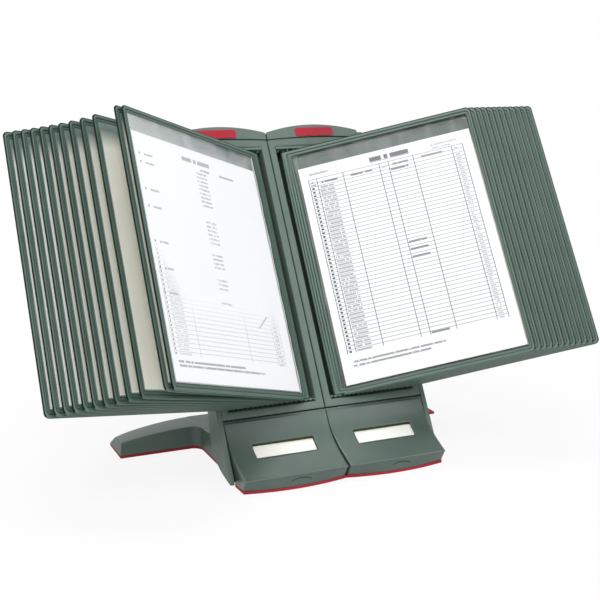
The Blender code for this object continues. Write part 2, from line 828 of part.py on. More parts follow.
def notch_tool(side):
    """Cutter for the finger notch under the lip: deepest at its arch, fading out below."""
    centre = MODULE_WIDTH / 2 + side * NOTCH_SHIFT
    half = NOTCH_WIDTH / 2
    bottom = NOTCH_FOOT - OVERRUN
    outline = [(centre - half, bottom), (centre + half, bottom)]
    outline += arched_top(centre - half, centre + half, NOTCH_ENDS, NOTCH_CREST - NOTCH_ENDS)
    front = [(x, COVER_LIP_Y - NOSE_BOW - OVERRUN, z) for x, z in outline]
    back = []
    for x, z in outline:
        sink = NOTCH_DEPTH * (z - NOTCH_FOOT) / (NOTCH_CREST - NOTCH_FOOT)
        back.append((x, nose_point(centre, z)[0] + sink, z))
    return loft("notch", [front, back])


def nose_point(x, height):
    """Point of the nose face under the lip: tucked under at both ends, bowed out between."""
    drop = (COVER_CHIN_HEIGHT - height) / (COVER_CHIN_HEIGHT - SOLE_TOP)
    y = COVER_CHIN_Y + (COVER_FOOT_Y - COVER_CHIN_Y) * drop
    below_lip = (COVER_LIP_HEIGHT - height) / (COVER_LIP_HEIGHT - SOLE_TOP)
    return (y - NOSE_BOW * nose_bow(x) * below_lip, height)


def ear_starts():
    """Inner side of each hinge ear, measured from the centre line."""
    return (EAR_INSET, MODULE_WIDTH - EAR_INSET - EAR_WIDTH)


def label_card_mesh(side):
    """Card that lies on the floor of the label window."""
    centre = MODULE_WIDTH / 2 + side * LABEL_SHIFT
    far = LABEL_RECESS - SEAM
    return label_box("label", cover_curve(), centre, -SEAM, far - LABEL_THICKNESS, far)


def base_outline(front_depth, roof_drop):
    """Side outline of the base, counterclockwise from its front foot."""
    roof = RACK_BOTTOM - SEAM - roof_drop
    saddle = rack_to_base(BACK_FACE, roof)
    top = FOOT_ROOT_FRONT_HEIGHT - BASE_TOP_DROP
    curve = bezier_points(
        saddle,
        (saddle[0], saddle[1] - BASE_SADDLE_TOP),
        (BASE_SHOULDER_Y - BASE_SADDLE_REAR, top),
        (BASE_SHOULDER_Y, top),
        CURVE_STEPS,
    )
    outline = [depth_point(front_depth, SOLE_TOP), (BASE_REAR, SOLE_TOP)]
    outline += [(BASE_REAR, BASE_REAR_HEIGHT)]
    return outline + list(reversed(curve)) + [rack_to_base(front_depth, roof)]


def base_mesh():
    """Base shell of one module: storage box behind the cover, hollow rear, toe and ears."""
    x0 = SEAM / 2
    x1 = BASE_WIDTH
    wall = BASE_WALL
    body = prism_x("base", base_outline(BASE_FRONT_SETBACK, 0), x0, x1)
    ahead = BASE_FRONT_SETBACK - wall - OVERRUN
    store = offset_outline(base_outline(ahead, STORE_ROOF - wall), wall)
    store = clip_outline(store, 0, STORE_BACK, False)
    box = prism_x("store", store, x0 + wall, x1 - wall)
    under = block(
        "under",
        (x0 + wall, STORE_BACK + wall, SOLE_TOP - OVERRUN),
        (x1 - wall, BASE_REAR - wall, BASE_REAR_HEIGHT - wall),
    )
    body = cut(body, [box, under])
    side_gap = SEAM + COVER_SKIN + TOE_SIDE_GAP
    toe_back = depth_point(BASE_FRONT_SETBACK, SOLE_TOP)[0] + wall
    toe = block(
        "toe",
        (side_gap, TOE_FRONT_Y, SOLE_TOP + SEAM),
        (x1 - SEAM, toe_back, SOLE_TOP + TOE_THICKNESS - SEAM),
    )
    y, z = cover_axis()
    ears = []
    holes = []
    reach = BASE_FRONT_SETBACK + OVERRUN
    boss = HINGE_BARREL - HINGE_CLEARANCE
    for start in ear_starts():
        end = start + EAR_WIDTH
        arm = [
            rack_to_base(COVER_AXIS_DEPTH, COVER_AXIS_Z - boss),
            rack_to_base(reach, COVER_AXIS_Z - boss),
            rack_to_base(reach, COVER_AXIS_Z + boss),
            rack_to_base(COVER_AXIS_DEPTH, COVER_AXIS_Z + boss),
        ]
        ears.append(prism_x("arm", arm, start, end))
        ears.append(rod_mesh("boss", boss, (start, y, z), (end, y, z), BARREL_SIDES))
        hole_start = (start - OVERRUN, y, z)
        hole_end = (end + OVERRUN, y, z)
        hole_radius = HINGE_ROD + HINGE_CLEARANCE
        holes.append(rod_mesh("rod_hole", hole_radius, hole_start, hole_end, HOLE_SIDES))
    return cut(fuse(body, [toe, *ears]), [joined("rod_holes", holes)])


def hinge_rod_mesh():
    """Rod through the ears and the cover's barrel."""
    y, z = cover_axis()
    x0 = EAR_INSET - OVERRUN
    return rod_mesh("rod", HINGE_ROD, (x0, y, z), (MODULE_WIDTH - x0, y, z), ROD_SIDES)


def foot_front(x):
    """Front edge of the side foot at x, flared into the base by a fillet."""
    root = BASE_WIDTH + SEAM
    run = x - root
    if run >= FOOT_FILLET:
        return FOOT_FRONT_Y
    return FOOT_FRONT_Y - FOOT_FILLET + math.sqrt(FOOT_FILLET**2 - (FOOT_FILLET - run) ** 2)


def sole_reach(side):
    """How far the sole reaches from the centre line."""
    return RIGHT_SOLE_REACH if side > 0 else LEFT_SOLE_REACH


def foot_reach(side):
    """How far the side foot reaches from the centre line: it stops short of its sole's toe."""
    return sole_reach(side) - (RIGHT_SOLE_TOE if side > 0 else LEFT_SOLE_TOE)


def side_foot_mesh(side):
    """Long side foot: a crowned bar that gets lower towards its raked tip."""
    reach = foot_reach(side)
    front_rake = RIGHT_FOOT_TIP_FRONT_RAKE if side > 0 else LEFT_FOOT_TIP_FRONT_RAKE
    root = BASE_WIDTH + SEAM
    steps = CORNER_STEPS + 1
    fillet = [root + FOOT_FILLET * (1 - math.cos(math.pi / 2 * i / steps)) for i in range(steps)]
    straight = reach - root - FOOT_FILLET
    rest = [root + FOOT_FILLET + straight * i / FOOT_STATIONS for i in range(FOOT_STATIONS + 1)]
    rings = []
    for x in fillet + rest:
        t = (x - root) / (reach - root)
        front_fall = FOOT_ROOT_FRONT_HEIGHT - FOOT_TIP_FRONT_HEIGHT
        rear_fall = FOOT_ROOT_REAR_HEIGHT - FOOT_TIP_REAR_HEIGHT
        front = FOOT_ROOT_FRONT_HEIGHT - front_fall * t**FOOT_FRONT_EASE
        rear = FOOT_ROOT_REAR_HEIGHT - rear_fall * t**FOOT_REAR_EASE
        y0 = foot_front(x)
        ring = [(x, y0, SOLE_TOP), (x, BASE_REAR, SOLE_TOP)]
        for i in range(CORNER_STEPS + 2):
            s = i / (CORNER_STEPS + 1)
            rake = FOOT_TIP_REAR_RAKE + (front_rake - FOOT_TIP_REAR_RAKE) * s
            y = BASE_REAR + (y0 - BASE_REAR) * s
            z = rear + (front - rear) * s + FOOT_CROWN * 4 * s * (1 - s)
            ring.append((x - rake * t**FOOT_RAKE_EASE, y, z))
        rings.append(ring)
    return loft("side_foot", rings)


def sole_mesh(side):
    """Rubber sole under one base and its side foot, with a bowed front edge."""
    reach = sole_reach(side)
    root = BASE_WIDTH
    centre = (root + FOOT_FILLET, FOOT_FRONT_Y - FOOT_FILLET)
    outline = []
    for i in range(CURVE_STEPS + 1):
        x = SEAM / 2 + (SOLE_FRONT_REACH - SEAM / 2) * i / CURVE_STEPS
        outline.append((x, SOLE_FRONT_Y - NOSE_BOW * nose_bow(x)))
    outline += [
        (SOLE_SEAM_REACH, SOLE_SEAM_Y),
        (root, SOLE_SHOULDER_Y),
    ]
    outline += arc_points(centre, FOOT_FILLET, math.pi, math.pi / 2, CORNER_STEPS + 1)
    outline += [(reach, FOOT_FRONT_Y), (reach, BASE_REAR), (SEAM / 2, BASE_REAR)]
    return loft("sole", [[(x, y, z) for x, y in outline] for z in (0, SOLE_THICKNESS)])


def empty(name, parent=None, location=(0, 0, 0), rotation=(0, 0, 0)):
    """A frame of reference to hang the parts on."""
    frame = bpy.data.objects.new(name, None)
    bpy.context.scene.collection.objects.link(frame)
    frame.parent = parent
    frame.location = location
    frame.rotation_euler = rotation
    return frame


def moved(mesh, offset):
    """The mesh shifted by an offset."""
    mesh.transform(Matrix.Translation(offset))
    return mesh


def middle_of_row():
    """Middle of the whole stand's width and depth, in the base frame."""
    half = PANEL_THICKNESS / 2
    reach = []
    for lean in (left_leans()[-1], RIGHT_LEAN_DEG):
        angle = math.radians(lean)
        reach.append(LAST_PIVOT + PANEL_REACH * math.cos(angle) + half * math.sin(angle))
    angle = math.radians(LEFT_FRONT_LEAN_DEG)
    front_depth = PIVOT_DEPTH - PANEL_REACH * math.sin(angle) - half * math.cos(angle)
    front = rack_to_base(front_depth, -PANEL_BOTTOM_BORDER)[0]
    rear = rack_to_base(BACK_FACE, RACK_TOP + CAP_END_HEIGHT + CAP_ARCH)[0]
    return (reach[1] - reach[0]) / 2, (front + rear) / 2


def build_materials():
    """All materials of the part by name."""
    return {
        "body": make_material("grey_green_plastic", (0.130, 0.170, 0.150), 0.55),
        "panel": make_material("panel_green_plastic", (0.075, 0.150, 0.115), 0.5),
        "comb": make_material("dark_comb_plastic", (0.022, 0.042, 0.036), 0.6),
        "back": make_material("back_cover_plastic", (0.045, 0.070, 0.062), 0.6),
        "rubber": make_material("red_rubber", (0.560, 0.020, 0.030), 0.7),
        "film": make_material("clear_film", (0.780, 0.830, 0.850), 0.15, alpha=0.3),
        "paper": make_material("white_paper", (0.820, 0.830, 0.840), 0.8),
        "card": make_material("cream_card", (0.880, 0.880, 0.740), 0.8),
        "steel": make_material("steel", (0.560, 0.570, 0.580), 0.3, metallic=1.0),
    }


def build_panels(name, side, leans, rack, materials, meshes):
    """Place the twelve panels of one module, then the front panel's pocket and sheet."""
    for index, (place_x, lean) in enumerate(zip(pivot_places(), leans)):
        mesh = meshes["open_panel"] if index == 0 else meshes["closed_panel"]
        where = (side * place_x, PIVOT_DEPTH, 0)
        turn = -side * math.radians(lean)
        panel = make_object(f"{name}_panel_{index + 1:02d}", mesh.copy(), materials["panel"])
        smooth(place(panel, rack, where, turn, side < 0))
        if index == 0:
            pocket = make_object(f"{name}_clear_pocket", meshes["pocket"].copy(), materials["film"])
            place(pocket, rack, where, turn, side < 0)
            sheet = make_object(f"{name}_letter_sheet", meshes["sheet"].copy(), materials["paper"])
            place(sheet, rack, where, turn, side < 0)


def build_module(name, side, leans, rack, floor, materials, meshes):
    """Place every part of one module; the left one is mirrored."""
    flip = side < 0
    build_panels(name, side, leans, rack, materials, meshes)
    on_rack = (
        ("rack_frame", meshes["rack_frame"], "body", 0, False),
        ("top_cap", meshes["top_cap"], "body", 0, False),
        ("lower_comb", meshes["comb"], "comb", OPENING_BOTTOM + SEAM, False),
        ("upper_comb", meshes["comb"], "comb", OPENING_TOP - SEAM, True),
        ("back_cover", meshes["back_cover"], "back", 0, False),
        ("end_panel", meshes["end_panel"], "body", 0, False),
    )
    for part, mesh, material, climb, upside_down in on_rack:
        data = mesh.copy()
        if upside_down:
            data.transform(Matrix.Scale(-1, 4, (0, 0, 1)))
            data.flip_normals()
        obj = make_object(f"{name}_{part}", data, materials[material])
        smooth(place(obj, rack, (0, 0, climb), 0.0, flip))
    y, z = cover_axis()
    back = (0, -y, -z)
    on_floor = (
        ("base", meshes["base"].copy(), "body", (0, 0, 0)),
        ("side_foot", side_foot_mesh(side), "body", (0, 0, 0)),
        ("sole", sole_mesh(side), "rubber", (0, 0, 0)),
        ("cover_hinge_rod", moved(hinge_rod_mesh(), back), "steel", (0, y, z)),
        ("front_cover", moved(cover_mesh(side), back), "body", (0, y, z)),
        ("label_card", moved(label_card_mesh(side), back), "card", (0, y, z)),
    )
    for part, data, material, where in on_floor:
        obj = make_object(f"{name}_{part}", data, materials[material])
        smooth(place(obj, floor, where, 0.0, flip))


def main():
    """Build the stand."""
    for obj in list(bpy.data.objects):
        bpy.data.objects.remove(obj, do_unlink=True)
    materials = build_materials()
    meshes = {
        "open_panel": open_panel_mesh(),
        "closed_panel": closed_panel_mesh(),
        "pocket": pocket_mesh(),
        "sheet": sheet_mesh(),
        "rack_frame": rack_frame_mesh(),
        "top_cap": top_cap_mesh(),
        "comb": comb_mesh(),
        "back_cover": back_cover_mesh(),
        "end_panel": end_panel_mesh(),
        "base": base_mesh(),
    }
    middle_x, middle_y = middle_of_row()
    floor = empty("floor_axes", None, (-middle_x, -middle_y, 0))
    rack = empty("rack_axes", floor, (0, 0, RACK_HEIGHT), (-RECLINE, 0, 0))
    right_leans = [RIGHT_LEAN_DEG] * PANELS_PER_MODULE
    build_module("right", 1, right_leans, rack, floor, materials, meshes)
    build_module("left", -1, left_leans(), rack, floor, materials, meshes)
    for name, climb in (("lower_join_plate", JOIN_LOW), ("upper_join_plate", JOIN_HIGH)):
        plate = make_object(name, join_plate_mesh(), materials["steel"])
        smooth(place(plate, rack, (0, 0, climb)))


main()
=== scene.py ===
"""Fine shapes and finishes of a twin desktop display stand with swinging panels.

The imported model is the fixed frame. Every moulded shell, panel frame, sleeve and sheet is
worked out here as numpy grids on the stand's own axes, then carried to the row frame and
tied to the body that it moves with. The bases, the pivot combs, the label cards, the hinge
rods and the join plates keep the solids of the frame and only get a finish.

Axes used below, always for the right half (x grows away from the centre line):
  base axes  - x out, y back, z up from the floor, origin right below the rack's front;
  rack axes  - x out, depth behind the rack's front face, climb up the reclined rack;
  panel axes - reach from the pivot, rise through the thickness, climb up the panel.
The left half is the mirror image.
"""

from __future__ import annotations

import functools
import json
import logging
import math
from dataclasses import dataclass
from enum import Enum
from typing import Callable, Sequence

import bmesh
import bpy
import numpy as np
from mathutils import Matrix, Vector

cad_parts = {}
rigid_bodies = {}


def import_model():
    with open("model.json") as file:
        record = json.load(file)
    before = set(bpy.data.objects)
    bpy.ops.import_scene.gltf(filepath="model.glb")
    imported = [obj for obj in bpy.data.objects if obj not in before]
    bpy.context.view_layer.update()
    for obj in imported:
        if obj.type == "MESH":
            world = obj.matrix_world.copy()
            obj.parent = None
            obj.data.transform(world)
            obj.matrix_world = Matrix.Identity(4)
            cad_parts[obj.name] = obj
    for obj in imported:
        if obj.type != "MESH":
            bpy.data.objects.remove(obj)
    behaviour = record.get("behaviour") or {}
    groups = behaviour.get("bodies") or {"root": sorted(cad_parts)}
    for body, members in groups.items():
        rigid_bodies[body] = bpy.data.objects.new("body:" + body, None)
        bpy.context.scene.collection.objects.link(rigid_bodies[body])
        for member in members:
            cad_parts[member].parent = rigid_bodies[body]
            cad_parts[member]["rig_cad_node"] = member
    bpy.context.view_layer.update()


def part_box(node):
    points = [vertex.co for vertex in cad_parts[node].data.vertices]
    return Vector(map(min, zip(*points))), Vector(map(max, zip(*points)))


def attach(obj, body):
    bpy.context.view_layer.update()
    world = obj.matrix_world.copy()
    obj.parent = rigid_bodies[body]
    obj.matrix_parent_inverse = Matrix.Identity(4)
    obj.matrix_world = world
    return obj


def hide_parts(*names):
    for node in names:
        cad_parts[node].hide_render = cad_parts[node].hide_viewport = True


LOG = logging.getLogger("display_stand")
MERGE_DISTANCE = 1e-6
TOUCHING = 1e-5
STRAIGHT = 1e-6
SMALLEST = 1e-12
CRISP_DEG = 34.0
RIM_DEG = 40.0
NOISE_RANGE = (0.3, 0.7)

Array = np.ndarray
Colour = tuple[float, float, float]
Point = tuple[float, float, float]
Pairs = Sequence[tuple[float, float]]
Bounds = tuple[float, float, float, float]
Socket = bpy.types.NodeSocket
ToRow = Callable[[Array], Array]


class Side(Enum):
    """The two mirrored halves of the stand."""

    RIGHT = 1
    LEFT = -1

    @property
    def word(self) -> str:
        """Name of the half as the nodes spell it."""
        return self.name.lower()


class Axis(Enum):
    """Direction in which a stack of outlines is piled up."""

    ACROSS = 0
    DEPTH = 1
    UP = 2


@dataclass(frozen=True)
class StandPlaces:
    """Sizes that all sub-assemblies share, and the way from their axes to the row frame."""

    middle_x: float
    middle_y: float
    recline: float = math.radians(31.0)
    rack_height: float = 0.0842
    module_width: float = 0.126
    base_width: float = 0.1195
    base_rear: float = 0.143
    seam: float = 0.0003
    sheet_width: float = 0.2159
    sheet_height: float = 0.2794
    opening_bottom: float = -0.0115
    opening_top: float = 0.3150
    rack_bottom: float = -0.0206
    rack_top: float = 0.3237
    rack_depth: float = 0.022
    rack_arch: float = 0.0024
    back_face: float = 0.0248
    sole_top: float = 0.0035

    def base_point(self, depth: Array, climb: Array) -> tuple[Array, Array]:
        """Give (y, z) in base axes of a depth and climb in rack axes."""
        y = climb * math.sin(self.recline) + depth * math.cos(self.recline)
        z = self.rack_height + climb * math.cos(self.recline) - depth * math.sin(self.recline)
        return y, z

    def depth_point(self, depth: float, height: float) -> tuple[float, float]:
        """Give (y, z) in base axes of the point at that depth and height above the floor."""
        rise = height - self.rack_height + depth * math.sin(self.recline)
        return self.base_point(depth, rise / math.cos(self.recline))

    def from_base(self, side: Side) -> ToRow:
        """Return the map from base axes to the row frame for one half."""

        def carry(points: Array) -> Array:
            """Mirror and shift the points."""
            out = points.copy()
            out[..., 0] = side.value * points[..., 0] - self.middle_x
            out[..., 1] -= self.middle_y
            return out

        return carry

    def from_rack(self, side: Side) -> ToRow:
        """Return the map from rack axes to the row frame for one half."""
        to_row = self.from_base(side)

        def carry(points: Array) -> Array:
            """Recline the points, then mirror and shift them."""
            y, z = self.base_point(points[..., 1], points[..., 2])
            return to_row(np.stack([points[..., 0], y, z], axis=-1))

        return carry

    def from_panel(self, side: Side, pivot: float, pivot_depth: float, lean: float) -> ToRow:
        """Return the map from panel axes to the row frame.

        Args:
            side: Half that the panel belongs to.
            pivot: Distance of the pivot from the centre line.
            pivot_depth: Depth of the pivot behind the rack's front face.
            lean: Angle off the rack plane, in radians.

        Returns:
            A function that carries points.
        """
        to_row = self.from_rack(side)

        def carry(points: Array) -> Array:
            """Turn the points about the pivot: reach swings out to the front."""
            reach, rise, climb = points[..., 0], points[..., 1], points[..., 2]
            x = pivot + reach * math.cos(lean) + rise * math.sin(lean)
            depth = pivot_depth - reach * math.sin(lean) + rise * math.cos(lean)
            return to_row(np.stack([x, depth, climb], axis=-1))

        return carry


def unit(vectors: Array) -> Array:
    """Scale vectors to length one."""
    length = np.linalg.norm(vectors, axis=-1, keepdims=True)
    return vectors / np.maximum(length, SMALLEST)


def bezier(points: Pairs, steps: int) -> Array:
    """Cubic Bezier curve: the four points weighted by the Bernstein polynomials of t."""
    t = np.linspace(0, 1, steps + 1)[:, None]
    s = 1 - t
    p = np.asarray(points, float)
    return s**3 * p[0] + 3 * s * s * t * p[1] + 3 * s * t * t * p[2] + t**3 * p[3]


def parabola(t: Array) -> Array:
    """Arch 4 t (1 - t): nought at both ends and one in the middle."""
    return 4 * t * (1 - t)


def circle(radius: Array | float, turn: Array) -> Array:
    """Points of a circle about the origin at the given angles."""
    return np.stack([radius * np.cos(turn), radius * np.sin(turn)], axis=-1)


def rectangle(bounds: Bounds) -> list[tuple[float, float]]:
    """Corners, counterclockwise, of a low and high first and a low and high second number."""
    x0, x1, z0, z1 = bounds
    return [(x0, z0), (x1, z0), (x1, z1), (x0, z1)]


def rounded_box(bounds: Bounds, radius: float, arc_steps: int, edge_steps: int) -> Array:
    """Closed outline of a rectangle with four equal round corners."""
    return rounded_polygon(rectangle(bounds), [radius] * 4, arc_steps, edge_steps)


def rounded_polygon(corners: Array, radii: Array, arc_steps: int, edge_steps: int) -> Array:
    """Closed outline whose corners are arcs tangent to both edges.

    Each arc starts one tangent length before its corner and turns the radius vector
    through the corner's turn; a corner that doesn't turn becomes a short straight run.

    Args:
        corners: Corner points, counterclockwise.
        radii: One radius per corner.
        arc_steps: Pieces per arc.
        edge_steps: Pieces per straight edge.

    Returns:
        The points, one arc and one edge after another.
    """
    corners = np.asarray(corners, float)
    radii = np.asarray(radii, float)[:, None]
    before = unit(corners - np.roll(corners, 1, axis=0))
    after = unit(np.roll(corners, -1, axis=0) - corners)
    cross = before[:, :1] * after[:, 1:] - before[:, 1:] * after[:, :1]
    dot = (before * after).sum(axis=1, keepdims=True)
    turn = np.arctan2(cross, dot)
    start = corners - before * radii * np.tan(np.abs(turn) / 2)
    normal = np.stack([-before[:, 1], before[:, 0]], axis=1) * np.sign(turn)
    centre = start + normal * radii
    spoke = start - centre
    t = np.linspace(0, 1, arc_steps + 1)
    angle = turn * t
    cos, sin = np.cos(angle)[..., None], np.sin(angle)[..., None]
    across = np.stack([-spoke[:, 1], spoke[:, 0]], axis=1)
    arcs = centre[:, None] + spoke[:, None] * cos + across[:, None] * sin
    flat = corners[:, None] + before[:, None] * radii[:, None] * (2 * t - 1)[None, :, None]
    arcs = np.where(np.abs(turn)[..., None] < STRAIGHT, flat, arcs)
    t = np.linspace(0, 1, edge_steps + 1)[1:-1]
    ends = arcs[:, -1:]
    edges = ends + (np.roll(arcs[:, :1], -1, axis=0) - ends) * t[None, :, None]
    return np.concatenate([arcs, edges], axis=1).reshape(-1, 2)


def inset_outline(outline: Array, distance: float) -> Array:
    """Move a counterclockwise outline inwards along the mitre of its neighbouring edges."""
    before = unit(outline - np.roll(outline, 1, axis=0))
    after = unit(np.roll(outline, -1, axis=0) - outline)
    n0 = np.stack([-before[:, 1], before[:, 0]], axis=1)
    n1 = np.stack([-after[:, 1], after[:, 0]], axis=1)
    mitre = n0 + n1
    scale = np.maximum((mitre * n0).sum(axis=1, keepdims=True), 0.5)
    return outline + mitre / scale * distance


def round_ends(start: float, end: float, radius: float, steps: int = 4) -> list[tuple]:
    """Insets and places of a pile of outlines whose two rims are quarter rounds.

    Args:
        start: Place of the first outline.
        end: Place of the last outline.
        radius: Radius of both rims.
        steps: Pieces per quarter.

    Returns:
        Pairs of inset and place.
    """
    sign = 1 if end > start else -1
    first = [
        (radius * (1 - math.sin(a)), start + sign * radius * (1 - math.cos(a)))
        for a in np.linspace(0, math.pi / 2, steps + 1)
    ]
    last = [(inset, end - (place - start)) for inset, place in reversed(first)]
    return first + last


class MeshStack:
    """Patches of quads and flat caps that are welded into one mesh."""

    def __init__(self, plain: tuple[float, float] = (0.0, 0.0)) -> None:
        """Start with nothing; plain is the flat place of points that are given none."""
        self.plain = plain
        self.points: list[Array] = []
        self.flat: list[Array] = []
        self.faces: list[list[int]] = []
        self.count = 0

    def _keep(self, points: Array, flat: Array | None) -> None:
        """Store points and their place on the flat pattern."""
        points = points.reshape(-1, 3)
        self.points.append(points)
        whole = np.tile(self.plain, (len(points), 1)) if flat is None else flat.reshape(-1, 2)
        self.flat.append(whole)
        self.count += len(points)

    def grid(
        self,
        points: Array,
        wrap_rows: bool = False,
        wrap_columns: bool = False,
        flat: Array | None = None,
        keep: Array | None = None,
    ) -> MeshStack:
        """Add a grid of points as quads between neighbours.

        Args:
            points: Rows by columns by three.
            wrap_rows: Join the last row to the first.
            wrap_columns: Join the last column to the first.
            flat: Place of each point on the flat pattern.
            keep: Which quads to keep.

        Returns:
            The stack itself.
        """
        rows, columns = points.shape[:2]
        index = self.count + np.arange(rows * columns).reshape(rows, columns)
        if wrap_rows:
            index = np.vstack([index, index[:1]])
        if wrap_columns:
            index = np.hstack([index, index[:, :1]])
        quads = np.stack([index[:-1, :-1], index[:-1, 1:], index[1:, 1:], index[1:, :-1]], -1)
        self.faces += (quads if keep is None else quads[keep]).reshape(-1, 4).tolist()
        self._keep(points, flat)
        return self

    def cap(self, outline: Array) -> MeshStack:
        """Add one flat face over a closed outline."""
        self.faces.append(list(range(self.count, self.count + len(outline))))
        self._keep(outline, None)
        return self

    def tube(self, rings: Array) -> MeshStack:
        """Add rings of points as a closed tube, with a flat cap at each end."""
        return self.grid(rings, wrap_columns=True).cap(rings[0]).cap(rings[-1])

    def pile(
        self, outline: Array, steps: Pairs, axis: Axis
    ) -> MeshStack:
        """Pile an outline up along an axis: one layer per pair of inset and place."""
        return self.tube(np.stack([
            np.insert(inset_outline(outline, inset), axis.value, place, axis=1)
            for inset, place in steps
        ]))

    def build(
        self,
        name: str,
        to_row: ToRow,
        material: bpy.types.Material,
        inside: Array | None = None,
        sharp: float = CRISP_DEG,
    ) -> bpy.types.Object:
        """Weld the patches and make the object, with its faces outwards.

        Args:
            name: Name of the piece.
            to_row: Map from the piece's axes to the row frame.
            material: Finish of the piece.
            inside: A point behind an open shell, in the piece's axes.
            sharp: Edges that turn by more degrees than this stay crisp.

        Returns:
            The linked object, unturned at the origin.
        """
        points = to_row(np.concatenate(self.points))
        mesh = bpy.data.meshes.new(name)
        mesh.from_pydata(points.tolist(), [], self.faces)
        corner = np.empty(len(mesh.loops), np.int32)
        mesh.loops.foreach_get("vertex_index", corner)
        layer = mesh.uv_layers.new(name="flat")
        layer.data.foreach_set("uv", np.concatenate(self.flat)[corner].ravel().astype(np.float32))
        work = bmesh.new()
        work.from_mesh(mesh)
        bmesh.ops.remove_doubles(work, verts=work.verts, dist=MERGE_DISTANCE)
        bmesh.ops.dissolve_degenerate(work, edges=work.edges, dist=MERGE_DISTANCE)
        bmesh.ops.recalc_face_normals(work, faces=work.faces)
        if inside is not None:
            centre = Vector(to_row(np.asarray(inside, float).reshape(1, 3))[0])
            facing = sum(
                face.normal.dot(face.calc_center_median() - centre) * face.calc_area()
                for face in work.faces
            )
            if facing < 0:
                bmesh.ops.reverse_faces(work, faces=work.faces)
        work.to_mesh(mesh)
        work.free()
        mesh.shade_smooth()
        mesh.set_sharp_from_angle(angle=math.radians(sharp))
        mesh.materials.append(material)
        piece = bpy.data.objects.new(name, mesh)
        bpy.context.scene.collection.objects.link(piece)
        return piece


def fit_piece(piece: bpy.types.Object, body: str, nodes: Sequence[str] = ()) -> None:
    """Tie a finished piece to its body and hide the nodes that it stands for."""
    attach(piece, body)
    if nodes:
        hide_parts(*nodes)
    LOG.info("%s rides on %s, %d faces", piece.name, body, len(piece.data.polygons))


def round_rims(piece: bpy.types.Object, width: float) -> None:
    """Soften the crisp edges of a piece with a bevel of two segments."""
    bevel = piece.modifiers.new("rim", "BEVEL")
    bevel.width = width
    bevel.segments = 2
    bevel.limit_method = "ANGLE"
    bevel.angle_limit = math.radians(RIM_DEG)
    bevel.harden_normals = False


def give_wall(piece: bpy.types.Object, thickness: float) -> None:
    """Thicken an open skin inwards."""
    wall = piece.modifiers.new("wall", "SOLIDIFY")
    wall.thickness = thickness
    wall.offset = -1.0


